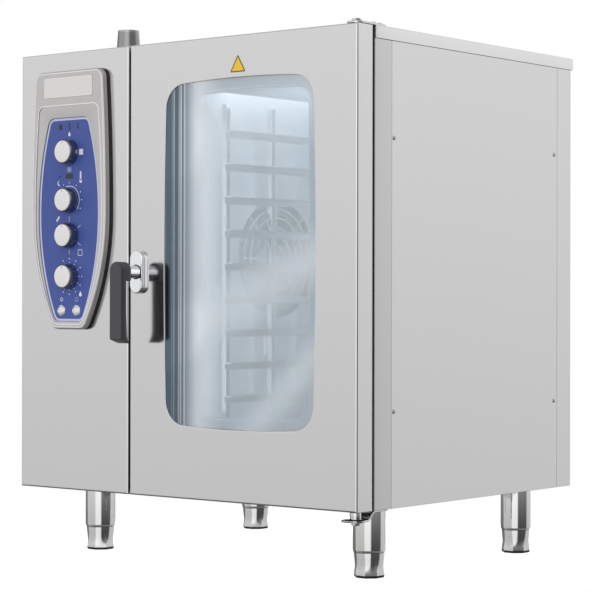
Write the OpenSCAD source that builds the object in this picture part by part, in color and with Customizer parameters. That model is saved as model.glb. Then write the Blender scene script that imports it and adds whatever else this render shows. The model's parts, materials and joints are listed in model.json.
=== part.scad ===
// Combi steamer oven for ten trays, with a glazed side-hung door and a control column on the left.
// Right-handed frame in millimetres: +X to the right, +Y to the back, +Z up.
// The origin is on the floor, under the middle of the whole object.

/* [Cabinet] */
// Width over the side panels
cab_w = 900; // [880:1:1150]
// Height of the cabinet above its legs, up to the top of the cover
cab_h = 917.5; // [800:0.5:1150]
// Depth of the cabinet from its front frame to its back panel
cab_d = 703; // [660:1:900]
// Thickness of the stainless sheet
sheet = 1.5; // [1:0.1:2]
// Thickness of the side panels
side_t = 1.2; // [0.8:0.1:2]
// Open seam between neighbouring panels
seam = 0.4; // [0.2:0.1:1]
// Depth of the front posts and of the rear posts
post_d = 54; // [40:1:70]
// Height of the lip of the top cover
lip_h = 24.5; // [15:0.5:40]
// How far the top cover stands out at the sides
cover_side = 3.5; // [2:0.1:8]
// How far the top cover stands out at the back
cover_back = 5.5; // [2:0.1:10]
// Radius of the side panel screw heads
screw_head_r = 4.5; // [3:0.1:6]

/* [Legs] */
// Height of the legs with their feet
leg_h = 141.4; // [100:0.1:200]
// Radius of the leg tube
leg_r = 32; // [20:0.5:40]
// Wall of the leg tube
leg_wall = 2; // [1:0.1:4]
// Length of the leg tube
leg_tube_l = 92; // [70:1:96]
// Distance of the leg axis from the side of the cabinet
leg_in_x = 86; // [50:1:150]
// Distance of the front leg axis from the front frame
leg_in_front = 99; // [60:1:150]
// Distance of the rear leg axis from the back panel
leg_in_back = 81; // [50:1:150]
// Radius of the screwed stud that holds a leg
leg_stud_r = 8; // [5:0.5:10]

/* [Door] */
// Width of the control column
column_w = 313; // [290:1:360]
// Upright gap between the door and the control column
door_gap = 5; // [3:0.5:10]
// Thickness of the door
door_t = 48; // [40:1:60]
// Space between the door and the front frame, filled by the door seal
seal_gap = 7; // [6:0.5:10]
// Margin of the window on the handle side
window_left = 100; // [80:1:140]
// Margin of the window on the hinge side
window_right = 104; // [80:1:140]
// Margin below the window
window_low = 147; // [100:1:180]
// Margin above the window
window_top = 89; // [70:1:140]
// Corner radius of the window
window_r = 48; // [20:1:80]
// How far the sides of the window bow out
window_bow = 4.5; // [0:0.5:10]
// Step from the outer window to the inner one
window_step = 17; // [10:1:30]
// Thickness of the outer pane
glass_t = 5; // [4:0.5:8]
// Distance of the hinge axis from the hinge edge of the door
hinge_in = 17.3; // [16:0.1:20]
// Distance of the hinge axis from the door's front face
hinge_depth = 20; // [18:0.5:24]
// Radius of the hinge pins
hinge_pin_r = 6; // [4:0.5:8]
// Thickness of the hinge brackets
bracket_t = 4; // [3:0.5:6]

/* [Handle] */
// Distance of the handle axis from the free edge of the door
handle_in = 27; // [26:0.5:40]
// Height of the handle axis above the door's lower edge
handle_z = 454; // [350:1:550]
// How far the lever's front stands out from the door
handle_reach = 71.5; // [66:0.5:90]
// Length of the lever below its axis
lever_l = 145; // [100:1:180]
// Width of the lever
lever_w = 34; // [24:0.5:40]
// Thickness of the lever
lever_t = 16; // [12:0.5:24]
// How far the hub at the top of the lever stands out behind it
hub_t = 14; // [8:0.5:18]
// Radius of the handle spindle
spindle_r = 7; // [5:0.5:9]
// Distance of the latch nose from the spindle axis
latch_r = 25; // [22:0.5:28]

/* [Control panel] */
// Height of the control bezel
bezel_h = 540; // [500:1:580]
// Greatest half width of the control bezel
bezel_half = 109; // [100:0.5:120]
// How far the control bezel stands out from the fascia
bezel_t = 17; // [14:0.5:24]
// Distance from the top of the cabinet to the top of the bezel
bezel_down = 41.5; // [30:0.5:60]
// Depth of the pocket that holds the blue panel
panel_pocket = 4; // [2:0.5:6]
// Thickness of the blue panel
panel_t = 1.5; // [1:0.1:3]
// Radius of the four knobs
knob_r = 26.5; // [18:0.5:28]
// How far the knobs stand out from the blue panel
knob_h = 22.5; // [18:0.5:32]
// Radius of the knob stems
stem_r = 4; // [3:0.5:5]
// Radius of the two push buttons
button_r = 9; // [7:0.5:11]
// Travel of the push buttons
button_travel = 3; // [2:0.5:5]

/* [Cavity] */
// Distance from the side of the cabinet to the cavity wall on the hinge side
wall_right = 65; // [50:1:90]
// Distance from the column to the cavity wall on the fan side
wall_left = 40; // [36:1:60]
// Thickness of the fan-side frame stile beyond the cavity wall
stile_left = 32; // [20:1:40]
// Height of the cavity floor above the cabinet's underside
floor_up = 85; // [78:1:100]
// Distance from the cavity ceiling to the top of the cabinet
ceiling_down = 72.5; // [60:0.5:100]
// Distance from the cavity's back wall to the back panel
back_in = 113; // [90:1:150]
// Depth of the fan chamber behind the baffle
fan_space = 90; // [80:1:120]
// Gastronorm tray width
tray_w = 325; // [300:1:330]
// Play of a tray between the rack webs
tray_play = 6; // [4:1:10]
// Distance from one tray level to the next
tray_pitch = 67.7; // [60:0.1:90]
// Width of the rack rails
rail_w = 18; // [12:1:25]
// Height of the rack rails
rail_h = 15; // [8:1:20]
// Distance from one rack post to the next
rack_pitch = 144.5; // [100:0.5:200]
// Room between a rack and the wall beside it
rack_room = 18.5; // [10:0.5:40]
// Thickness of the insulation
wool_t = 40; // [30:1:42]
// Radius of the fan wheel
fan_r = 138; // [120:1:150]
// Width of the fan wheel
fan_w = 50; // [40:1:60]
// Radius of the motor shaft
shaft_r = 8; // [6:0.5:10]
// Radius of the baffle's ring grille
grille_r = 125; // [100:1:140]

/* [Services] */
// How far the drain pipe stands out behind the back panel
rear_reach = 40; // [30:1:80]
// Outer radius of the drain pipe
drain_r = 20; // [16:0.5:22]
// Outer radius of the water inlet thread
inlet_r = 13.2; // [8:0.1:14]
// Inner radius of the cable gland
gland_r = 9; // [6:0.5:12]
// Radius of the bonding stud
bond_r = 4; // [3:0.5:5]
// Height of the vent above the top cover
vent_h = 65; // [40:1:100]
// Bore radius of the vent
vent_r = 17; // [12:0.5:20]

/* [Hidden] */
$fn = 64;

// Clearances: between fixed pieces, between moving pieces, and of a running fit
gap = 0.3;
free = 1;
run_fit = 0.05;

steel = [0.78, 0.78, 0.78];
chrome = [0.85, 0.85, 0.86];
dark = [0.12, 0.12, 0.13];
grey = [0.5, 0.5, 0.52];
blue = [0.2, 0.28, 0.6];
pane = [0.65, 0.72, 0.78, 0.4];
wool = [0.86, 0.8, 0.6];
brass = [0.8, 0.65, 0.3];

// Levels and planes of the cabinet
half_w = cab_w / 2;
base_z = leg_h;
top_z = base_z + cab_h;
front_t = door_t + seal_gap;
face_y = (handle_reach - rear_reach - front_t - cab_d) / 2;
frame_y = face_y + front_t;
back_y = frame_y + cab_d;
post_front_y = frame_y + post_d;
post_back_y = back_y - post_d;
under_cover = top_z - sheet - gap;
leg_x = half_w - leg_in_x;
leg_front_y = frame_y + leg_in_front;
leg_back_y = back_y - leg_in_back;
flange_w = 18;

// Column and door
column_x = -half_w + column_w;
door_x0 = column_x + door_gap;
door_x1 = half_w;
door_z0 = base_z;
door_z1 = top_z - free;
door_back_y = face_y + door_t;
hinge_x = door_x1 - hinge_in;
hinge_y = face_y + hinge_depth;
window_w = door_x1 - door_x0 - window_left - window_right;
window_h = cab_h - window_low - window_top;
window_x = door_x0 + window_left + window_w / 2;
window_z = base_z + window_low + window_h / 2;
inner_w = window_w - 2 * window_step;
inner_h = window_h - 2 * window_step;
inner_r = window_r - window_step / 2;
handle_x = door_x0 + handle_in;
handle_mid_z = base_z + handle_z;
lever_back_y = face_y - handle_reach + lever_t;
escutcheon_t = 11;
latch_turn = 135;

// Cavity, wide enough for the fan chamber and a tray between its racks
web_half = (tray_w + tray_play) / 2;
rack_post = 12;
cav_x1 = half_w - wall_right;
cav_x0 = min(column_x + wall_left, cav_x1 - fan_space - 2 * (web_half + rack_post + rack_room));
cav_y0 = frame_y + sheet + gap;
cav_y1 = back_y - back_in;
cav_z0 = base_z + floor_up;
cav_z1 = top_z - ceiling_down;
mouth_x0 = column_x + wall_left + stile_left;
baffle_x = cav_x0 + fan_space;
fan_y = frame_y + 265;
fan_z = (cav_z0 + cav_z1) / 2 + 20;
heater_r = fan_r + 17;
drain_x = 150;
drain_y = (cav_y0 + cav_y1) / 2;
drain_z = base_z + 55;
vent_x = -half_w + 123;
vent_y = face_y + 200;
vent_elbow_z = cav_z1 - 60;
injector_z = fan_z + fan_r + 45;
lamp_y = fan_y - 22;
lamp_z = fan_z - heater_r - 21;
lamp_size = [20, 40, 56];
motor_x0 = cav_x0 - sheet - wool_t - gap;

// Racks
tray_x = (baffle_x + cav_x1) / 2;
rail_z0 = cav_z0 + 42;
rail_count = floor((cav_z1 - rail_z0 - 90) / tray_pitch) + 1;
rail_y0 = cav_y0 + 58;
rail_y1 = cav_y1 - 12;
rack_posts = floor((rail_y1 - rail_y0 - 2 * rack_post) / rack_pitch) + 1;

// Control panel
bezel_x = -half_w + column_w / 2;
bezel_z1 = top_z - bezel_down;
bezel_z0 = bezel_z1 - bezel_h;
widest_z = bezel_z0 + 239;
bezel_y = face_y - bezel_t;
panel_y = bezel_y + panel_pocket;
panel_half = bezel_half - 20.5;
panel_z0 = bezel_z0 + 16.5;
panel_z1 = bezel_z1 - 99;
knob_z = [bezel_z1 - 170.5, bezel_z1 - 271, bezel_z1 - 344.5, bezel_z1 - 430];
button_z = bezel_z0 + 39;
button_x = 22;
display_z = bezel_z1 - 221;
lamp_row_z = bezel_z1 - 117.5;
plate_z = bezel_z1 - 35;
switch_y = face_y + sheet + 5;
switch_size = [40, 32, 40];

// Services at the back
inlet_z = base_z + 150;
inlet_x = [-half_w + 120, -half_w + 180];
gland_x = -half_w + 60;
gland_z = base_z + 110;
bond_x = -half_w + 32;
bond_z = base_z + 50;

// Box between two opposite corners
module block(lo, hi) {
    translate(lo) cube(hi - lo);
}

// Round bars along each axis, starting at a point
module rod_x(at, r, l) {
    translate(at) rotate([0, 90, 0]) cylinder(r = r, h = l);
}
module rod_y(at, r, l) {
    translate(at) rotate([-90, 0, 0]) cylinder(r = r, h = l);
}
module rod_z(at, r, l) {
    translate(at) cylinder(r = r, h = l);
}

// Flat outline in X and Z, standing upright between two planes
module upright(y0, y1) {
    translate([0, y1, 0]) rotate([90, 0, 0]) linear_extrude(y1 - y0) children();
}

// One side of a bowed rectangle and the quarter circle after it
function bowed_side(half, run, bow, n = 10) =
    [for (i = [0:n]) let (t = 2 * i / n - 1) [half + bow * (1 - t * t), t * run]];
function quarter(centre, r, start, n = 10) =
    [for (i = [1:n - 1]) centre + r * [cos(start + 90 * i / n), sin(start + 90 * i / n)]];

// Rectangle with round corners whose sides bow out
function bowed_rect(w, h, r, bow) =
    let (a = w / 2 - r, b = h / 2 - r, side = bowed_side(w / 2, b, bow), top = bowed_side(h / 2, a, bow))
    concat(side, quarter([a, b], r, 0), [for (p = top) [-p.y, p.x]], quarter([-a, b], r, 90),
        -side, quarter([-a, -b], r, 180), [for (p = top) [p.y, -p.x]], quarter([a, -b], r, 270));

module window_outline(w, h, r) {
    translate([window_x, window_z]) polygon(bowed_rect(w, h, r, window_bow));
}

// Half width of an outline whose side is one arc above its widest place and a tighter one below
function arc_sag(r, d) = r - sqrt(r * r - d * d);
function taper_half(z, half, up_r, low_r) = half - arc_sag(z > widest_z ? up_r : low_r, z - widest_z);

// Tapered control outline with round corners
module taper_outline(half, z0, z1, up_r, low_r, corner, n = 24) {
    right = [for (i = [0:n]) let (z = z0 + (z1 - z0) * i / n) [taper_half(z, half, up_r, low_r), z]];
    left = [for (i = [n:-1:0]) [-right[i].x, right[i].y]];
    translate([bezel_x, 0]) offset(r = corner) offset(delta = -corner) polygon(concat(right, left));
}
module bezel_outline(inset = 0) {
    taper_outline(bezel_half - inset, bezel_z0 + inset, bezel_z1 - inset, 4200, 483, 20);
}
module panel_outline(inset = 0) {
    taper_outline(panel_half - inset, panel_z0 + inset, panel_z1 - inset, 650, 530, 18);
}

// Places of the side panel screws
screw_y = [post_front_y + 8, post_back_y - 12];
screw_z = [base_z + 185, top_z - 210];
module at_screws(side) {
    for (y = screw_y, z = screw_z)
        translate([side * half_w, y, z]) rotate([0, -90 * side, 0]) children();
}

// Flanges behind the side panels, which take the screws
module screw_flange(y0, y1) {
    for (s = [0, 1])
        mirror([s, 0, 0])
            block([half_w - side_t - gap - sheet, y0, base_z + 20],
                [half_w - side_t - gap, y1, under_cover - 20]);
}

module leg_places() {
    for (x = [-leg_x, leg_x], y = [leg_front_y, leg_back_y]) translate([x, y, 0]) children();
}

// ---- cabinet ----

module base_frame() {
    bar = 30;
    wall = 3;
    z0 = base_z + sheet;
    x = half_w - 14;
    y0 = post_front_y + 4;
    y1 = post_back_y - 4;
    color(grey) difference() {
        union() {
            difference() {
                block([-x, y0, z0], [x, y1, z0 + bar]);
                block([-x + bar, y0 + bar, z0 - 1], [x - bar, y1 - bar, z0 + bar + 1]);
                for (s = [0, 1])
                    mirror([s, 0, 0])
                        block([x - bar + wall, y0 + wall, z0 - 1], [x - wall, y1 - wall, z0 + bar - wall]);
            }
            for (y = [leg_front_y, leg_back_y])
                block([-x + 1, y - 22, z0 + bar - wall], [x - 1, min(y + 22, y1), z0 + bar]);
        }
        leg_places() rod_z([0, 0, 0], leg_stud_r + gap, base_z + 60);
    }
}

module bottom_panel() {
    x = half_w - side_t - gap;
    color(steel) difference() {
        block([-x, post_front_y + seam, base_z], [x, post_back_y - seam, base_z + sheet]);
        leg_places() rod_z([0, 0, 0], leg_stud_r + gap, base_z + 60);
    }
}

module front_frame() {
    color(steel) difference() {
        union() {
            difference() {
                block([-half_w, frame_y, base_z], [half_w, post_front_y, under_cover]);
                block([-half_w + sheet, frame_y + sheet, base_z + sheet],
                    [half_w - sheet, post_front_y + 1, under_cover - sheet]);
            }
            screw_flange(post_front_y - 8, post_front_y + flange_w);
        }
        block([mouth_x0, frame_y - 1, cav_z0], [cav_x1, frame_y + sheet + 1, cav_z1]);
        block([-half_w + 15, frame_y - 1, base_z + 25], [column_x - 15, frame_y + sheet + 1, top_z - 45]);
        block([handle_x - latch_r - 6, frame_y - 1, handle_mid_z - latch_r - 8],
            [handle_x - latch_r * 0.32, frame_y + sheet + 1, handle_mid_z + latch_r + 8]);
        for (s = [-1, 1]) at_screws(s) rod_z([0, 0, -2], 2.1, 20);
    }
}

module back_panel() {
    color(steel) difference() {
        union() {
            difference() {
                block([-half_w, post_back_y, base_z], [half_w, back_y, under_cover]);
                block([-half_w + sheet, post_back_y - 1, base_z + sheet],
                    [half_w - sheet, back_y - sheet, under_cover - sheet]);
            }
            screw_flange(post_back_y - flange_w, post_back_y + 8);
        }
        rod_y([drain_x, post_back_y, drain_z], drain_r + free, post_d + 1);
        for (x = inlet_x) rod_y([x, post_back_y, inlet_z], inlet_r + free, post_d + 1);
        rod_y([gland_x, post_back_y, gland_z], gland_r + 3 + gap, post_d + 1);
        rod_y([bond_x, post_back_y, bond_z], bond_r + gap, post_d + 1);
        leg_places() rod_z([0, 0, 0], leg_stud_r + gap, base_z + 60);
        for (s = [-1, 1]) at_screws(s) rod_z([0, 0, -2], 2.1, 20);
    }
}

module side_panel(side) {
    color(steel) difference() {
        mirror([side < 0 ? 1 : 0, 0, 0])
            block([half_w - side_t, post_front_y + seam, base_z],
                [half_w, post_back_y - seam, under_cover]);
        at_screws(side) rod_z([0, 0, -2], 2.1, 20);
    }
}
module side_panel_left() { side_panel(-1); }
module side_panel_right() { side_panel(1); }

module panel_screws() {
    color(chrome) for (s = [-1, 1]) at_screws(s) {
        rod_z([0, 0, 0], 1.9, 14);
        rod_z([0, 0, -2.2], screw_head_r, 2.2);
    }
}

module top_cover() {
    x = half_w + cover_side;
    y = back_y + cover_back;
    color(steel) difference() {
        block([-x, frame_y, top_z - lip_h], [x, y, top_z]);
        block([-x + sheet, frame_y - 1, top_z - lip_h - 1], [x - sheet, y - sheet, top_z - sheet]);
        rod_z([vent_x, vent_y, top_z - lip_h], vent_r + 3, lip_h + 1);
    }
}

// ---- legs ----

foot_r = leg_r - 2;
foot_stem_r = leg_r - leg_wall - 0.5;
foot_stem_l = 60;
module leg_tubes() {
    color(chrome) leg_places() difference() {
        union() {
            rod_z([0, 0, base_z - leg_tube_l], leg_r, leg_tube_l);
            rod_z([0, 0, base_z], leg_stud_r, 36);
        }
        rod_z([0, 0, base_z - leg_tube_l - 1], leg_r - leg_wall, leg_tube_l - 4);
    }
}

// Adjustable foot: a stem that slides in the leg, a waisted collar and a faceted sole
module foot(x, y) {
    rise = leg_h - leg_tube_l;
    color(chrome) translate([x, y, 0]) {
        rotate_extrude() polygon([[0, 2], [foot_r - 3, 2], [foot_r - 2.5, 12], [foot_r - 3.5, 20],
            [foot_r, rise - free], [foot_stem_r, rise], [foot_stem_r, rise + foot_stem_l], [0, rise + foot_stem_l]]);
        cylinder(r = foot_r + 1, h = 12, $fn = 8);
    }
}
module foot_front_left() { foot(-leg_x, leg_front_y); }
module foot_front_right() { foot(leg_x, leg_front_y); }
module foot_rear_left() { foot(-leg_x, leg_back_y); }
module foot_rear_right() { foot(leg_x, leg_back_y); }

// ---- control column ----

module control_fascia() {
    color(steel) difference() {
        block([-half_w, face_y, base_z], [column_x, frame_y - seam, top_z - free]);
        block([-half_w + sheet, face_y + sheet, base_z + sheet],
            [column_x - sheet, frame_y, top_z - free - sheet]);
        for (z = knob_z) rod_y([bezel_x, face_y - 1, z], stem_r + free, 4);
        for (s = [-1, 1]) rod_y([bezel_x + s * button_x, face_y - 1, button_z], 5, 4);
    }
}

module control_bezel() {
    color(chrome) difference() {
        upright(bezel_y, face_y) bezel_outline();
        upright(bezel_y - 1, panel_y + panel_t) panel_outline(-gap);
        upright(bezel_y + 9, face_y + 1) bezel_outline(4);
        for (z = knob_z) rod_y([bezel_x, bezel_y, z], stem_r + free, 20);
        for (s = [-1, 1]) rod_y([bezel_x + s * button_x, bezel_y, button_z], button_r + gap, bezel_t + 1);
    }
}

module control_panel() {
    color(blue) difference() {
        upright(panel_y, panel_y + panel_t) panel_outline();
        for (z = knob_z) rod_y([bezel_x, panel_y - 1, z], stem_r + free, 4);
        for (s = [-1, 1]) rod_y([bezel_x + s * button_x, panel_y - 1, button_z], button_r + gap, 4);
        block([bezel_x - 11 - gap, panel_y - 1, display_z - 5 - gap],
            [bezel_x + 11 + gap, panel_y + 3, display_z + 5 + gap]);
        for (x = [-26, 0, 25]) rod_y([bezel_x + x, panel_y - 1, lamp_row_z], 2 + gap, 4);
    }
}

module name_plate() {
    color(chrome) block([bezel_x - 70, bezel_y - 1, plate_z - 21], [bezel_x + 70, bezel_y, plate_z + 21]);
}

module display_window() {
    color(dark) block([bezel_x - 11, panel_y - 0.2, display_z - 5],
        [bezel_x + 11, panel_y + panel_t, display_z + 5]);
}

module indicator_lamps() {
    color(dark) for (x = [-26, 0, 25]) rod_y([bezel_x + x, panel_y - 0.5, lamp_row_z], 2, panel_t + 0.5);
}

// Rotary switches behind the fascia, each with a blind hole for its knob's stem, and the two push switches
module selector_switches() {
    color(dark) {
        for (z = knob_z) difference() {
            translate([bezel_x - switch_size.x / 2, face_y + sheet, z - switch_size.z / 2])
                cube(switch_size);
            rod_y([bezel_x, face_y, z], stem_r + gap, 25);
        }
        for (s = [-1, 1])
            block([bezel_x + s * button_x - 9, face_y + 10, button_z - 9],
                [bezel_x + s * button_x + 9, face_y + 30, button_z + 9]);
    }
}

// Knob with a stem that reaches its switch
module knob(z) {
    color(chrome) {
        rod_y([bezel_x, panel_y - knob_h, z], knob_r, knob_h - free);
        rod_y([bezel_x, panel_y - free, z], stem_r, bezel_t - panel_pocket + free + 20);
        block([bezel_x - 1, panel_y - knob_h - 0.4, z + knob_r - 9],
            [bezel_x + 1, panel_y - knob_h, z + knob_r - 2]);
    }
}
module mode_knob() { knob(knob_z[0]); }
module temperature_knob() { knob(knob_z[1]); }
module time_knob() { knob(knob_z[2]); }
module humidity_knob() { knob(knob_z[3]); }

// Push button whose rod reaches the push switch at the end of its travel
module push_button(side) {
    at = [bezel_x + side * button_x, panel_y - 4, button_z];
    color(chrome) {
        rod_y(at, button_r, 5);
        rod_y(at, 4, face_y + 10 - button_travel - gap - at.y);
    }
}
module button_left() { push_button(-1); }
module button_right() { push_button(1); }

// ---- cavity ----

module cavity_liner() {
    color(steel) difference() {
        block([cav_x0 - sheet, cav_y0, cav_z0 - sheet], [cav_x1 + sheet, cav_y1 + sheet, cav_z1 + sheet]);
        block([cav_x0, cav_y0 - 1, cav_z0], [cav_x1, cav_y1, cav_z1]);
        wall_holes(cav_x0 - sheet - 1, sheet + 2);
        rod_z([drain_x, drain_y, cav_z0 - sheet - 1], drain_r + 4, sheet + 2);
    }
}

// Everything that passes through the fan-side wall
module wall_holes(x, l) {
    rod_x([x, fan_y, fan_z], shaft_r + 3, l);
    rod_x([x, vent_y, vent_elbow_z], vent_r + 2 + gap, l);
    rod_x([x, fan_y, injector_z], 5 + gap, l);
    for (s = [-1, 1]) rod_x([x, fan_y + s * 12, fan_z + heater_r], 4 + gap, l);
    translate([x, lamp_y - 14, lamp_z - 14]) cube([l, 28, 28]);
}

module insulation() {
    t = wool_t;
    color(wool) difference() {
        block([cav_x0 - sheet - t, frame_y + 15, cav_z0 - sheet - t],
            [cav_x1 + sheet + t, cav_y1 + sheet + t, cav_z1 + sheet + t]);
        block([cav_x0 - sheet - gap, frame_y, cav_z0 - sheet - gap],
            [cav_x1 + sheet + gap, cav_y1 + sheet + gap, cav_z1 + sheet + gap]);
        wall_holes(cav_x0 - sheet - t - 1, t + 2);
        rod_z([drain_x, drain_y, base_z], drain_r + 6, cav_z0 - base_z);
        translate([drain_x - drain_r - 2, drain_y, base_z])
            cube([2 * drain_r + 4, cab_d, drain_z - base_z + drain_r + 2]);
    }
}

module door_gasket() {
    w = 16;
    x0 = mouth_x0 - w - 3;
    x1 = cav_x1 + w + 3;
    z0 = cav_z0 - w - 3;
    z1 = cav_z1 + w + 3;
    color(dark) difference() {
        block([x0, door_back_y + gap, z0], [x1, frame_y, z1]);
        block([x0 + w, door_back_y, z0 + w], [x1 - w, frame_y + 1, z1 - w]);
    }
}

// Sheet in front of the fan, closed towards the door, with an intake grille of rings on four spokes
module air_baffle() {
    y0 = cav_y0 + 20;
    y1 = cav_y1 - 45;
    z0 = cav_z0 + 20;
    z1 = cav_z1 - 20;
    ring = 3;
    color(steel) {
        difference() {
            union() {
                block([baffle_x - sheet, y0, z0], [baffle_x, y1, z1]);
                block([cav_x0 + gap, y0, z0], [baffle_x, y0 + sheet, z1]);
                for (y = [y0 + 30, y1 - 20], z = [z0 + 20, z1 - 20]) rod_x([cav_x0 + gap, y, z], 5,
                    fan_space - 1);
            }
            rod_x([cav_x0 + 10, fan_y, fan_z], grille_r, fan_space + 10);
            block([baffle_x - 10, lamp_y - lamp_size.y / 2 - gap, lamp_z - lamp_size.z / 2 - gap],
                [baffle_x + 10, lamp_y + lamp_size.y / 2 + gap, lamp_z + lamp_size.z / 2 + gap]);
        }
        for (r = [25:20:grille_r - 15])
            translate([baffle_x - 2, fan_y, fan_z]) rotate([0, 90, 0]) rotate_extrude()
                translate([r, 0]) square(ring);
        for (a = [0:45:135])
            translate([baffle_x - 2, fan_y, fan_z])
                rotate([a, 0, 0]) translate([-1, -grille_r - 2, -ring / 2])
                cube([ring, 2 * grille_r + 4, ring]);
    }
}

module fan_motor() {
    color(grey) difference() {
        union() {
            rod_x([motor_x0 - 6, fan_y, fan_z], 95, 6);
            rod_x([motor_x0 - 156, fan_y, fan_z], 70, 151);
            block([motor_x0 - 120, fan_y - 25, fan_z + 55], [motor_x0 - 60, fan_y + 25, fan_z + 95]);
        }
        rod_x([motor_x0 - 150, fan_y, fan_z], shaft_r + run_fit, 160);
    }
}

module motor_shaft() {
    color(chrome) rod_x([motor_x0 - 149, fan_y, fan_z], shaft_r, baffle_x - 10 - motor_x0 + 149);
}

// Radial wheel: back disc, hub, blades and front ring
module fan_wheel() {
    x0 = cav_x0 + 12;
    blades = 16;
    color(steel) difference() {
        union() {
            rod_x([x0, fan_y, fan_z], fan_r, 2);
            rod_x([x0, fan_y, fan_z], 22, fan_w - 8);
            for (i = [0:blades - 1])
                translate([x0, fan_y, fan_z]) rotate([i * 360 / blades, 0, 0])
                    block([0, fan_r - 62, -1], [fan_w, fan_r - 2, 1]);
            translate([x0 + fan_w - 2, fan_y, fan_z]) rotate([0, 90, 0]) difference() {
                cylinder(r = fan_r, h = 2);
                translate([0, 0, -1]) cylinder(r = fan_r - 30, h = 4);
            }
        }
        rod_x([x0 - 1, fan_y, fan_z], shaft_r, fan_w + 2);
    }
}

// Three tubular heaters round the fan, their tails through the wall
module heater_rings() {
    color(grey) {
        for (i = [0:2])
            translate([cav_x0 + 22 + 16 * i, fan_y, fan_z]) rotate([0, 90, 0]) rotate_extrude()
                translate([heater_r, 0]) circle(r = 4, $fn = 24);
        for (s = [-1, 1])
            rod_x([cav_x0 - 60, fan_y + s * 12, fan_z + heater_r], 4, 60 + 22 + 32);
    }
}

// Tray rack: posts that stand on the cavity floor and a rail for each level
module rack(side) {
    web = tray_x + side * web_half;
    x_post = side < 0 ? web - rack_post : web;
    x_rail = side < 0 ? web : web - rail_w;
    color(chrome) {
        for (i = [0:rack_posts - 1])
            translate([x_post, rail_y0 + rack_post / 2 + i * rack_pitch, cav_z0 + gap])
                cube([rack_post, rack_post, rail_z0 + (rail_count - 1) * tray_pitch + 61 - cav_z0]);
        for (i = [0:rail_count - 1]) let (z = rail_z0 + i * tray_pitch) {
            translate([x_rail, rail_y0, z + rail_h / 2 - 2]) cube([rail_w, rail_y1 - rail_y0, 2]);
            translate([web - 1, rail_y0, z - rail_h / 2]) cube([2, rail_y1 - rail_y0, rail_h]);
        }
    }
}
module rack_left() { rack(-1); }
module rack_right() { rack(1); }

module cavity_lamp() {
    color(chrome) {
        translate([baffle_x - lamp_size.x + 4, lamp_y - lamp_size.y / 2,
            lamp_z - lamp_size.z / 2]) cube(lamp_size);
        block([cav_x0 - sheet - wool_t, lamp_y - 13, lamp_z - 13],
            [baffle_x - 10, lamp_y + 13, lamp_z + 13]);
    }
}

module drain_strainer() {
    color(chrome) translate([drain_x, drain_y, cav_z0]) difference() {
        cylinder(r = drain_r + 10, h = 2);
        for (r = [6, 13], a = [0:45:315])
            rotate([0, 0, a]) translate([r, 0, -1]) cylinder(r = 2, h = 4, $fn = 16);
    }
}

// Drain: an upright stub under the cavity floor and a level pipe to the back, with its outlet end turned up to size
module drain_pipe() {
    w = 2;
    r = drain_r - 1;
    outlet_y = back_y + 2;
    color(grey) difference() {
        union() {
            rod_z([drain_x, drain_y, drain_z - r], r, cav_z0 - sheet - drain_z + r);
            rod_y([drain_x, drain_y, drain_z], r, outlet_y - drain_y + 1);
            rod_y([drain_x, outlet_y, drain_z], drain_r, back_y + rear_reach - outlet_y);
            rod_z([drain_x, drain_y, cav_z0 - sheet - 2 - gap], drain_r + 3, 2);
        }
        rod_z([drain_x, drain_y, drain_z], drain_r - w, cav_z0 - drain_z + 1);
        rod_y([drain_x, drain_y, drain_z], drain_r - w, back_y + rear_reach - drain_y + 1);
    }
}

// Vent: tapered spigot with a rolled rim above the cover, pipe and elbow to the cavity
module vent_pipe() {
    w = 2;
    top = top_z + vent_h;
    color(steel) difference() {
        union() {
            rod_z([vent_x, vent_y, vent_elbow_z], vent_r + w, top - vent_elbow_z);
            translate([vent_x, vent_y, top_z])
                cylinder(r1 = vent_r + 10.5, r2 = vent_r + 4, h = vent_h - 8);
            rod_z([vent_x, vent_y, top - 8], vent_r + 6, 8);
            rod_x([vent_x, vent_y, vent_elbow_z], vent_r + w, cav_x0 - sheet - vent_x);
            translate([vent_x, vent_y, vent_elbow_z]) sphere(r = vent_r + w);
        }
        rod_z([vent_x, vent_y, vent_elbow_z], vent_r, top - vent_elbow_z + 1);
        rod_x([vent_x, vent_y, vent_elbow_z], vent_r, cav_x0 - vent_x + 1);
    }
}

module steam_injector() {
    color(chrome) difference() {
        rod_x([cav_x0 - 90, fan_y, injector_z], 5, 120);
        rod_x([cav_x0 - 91, fan_y, injector_z], 3, 122);
    }
}

// ---- services ----

module water_inlets() {
    color(brass) for (x = inlet_x) difference() {
        union() {
            rod_y([x, back_y - sheet - 40, inlet_z], inlet_r, 40 + sheet + 28);
            block([x - 20, back_y - sheet - 60, inlet_z - 22], [x + 20, back_y - sheet - 4, inlet_z + 30]);
        }
        rod_y([x, back_y - 40, inlet_z], inlet_r - 4, 80);
    }
}

module cable_gland() {
    color(dark) translate([gland_x, 0, gland_z]) difference() {
        union() {
            rod_y([0, back_y - 16, 0], gland_r + 3, 40);
            translate([0, back_y, 0]) rotate([-90, 0, 0]) cylinder(r = gland_r + 8, h = 12, $fn = 6);
            translate([0, back_y - sheet - 6, 0])
                rotate([-90, 0, 0]) cylinder(r = gland_r + 8, h = 6, $fn = 6);
        }
        rod_y([0, back_y - 17, 0], gland_r, 42);
    }
}

module bonding_stud() {
    color(brass) {
        rod_y([bond_x, back_y - 20, bond_z], bond_r, 20 + 24);
        translate([bond_x, back_y, bond_z]) rotate([-90, 0, 0]) cylinder(r = bond_r + 3.5, h = 5, $fn = 6);
    }
}

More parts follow.
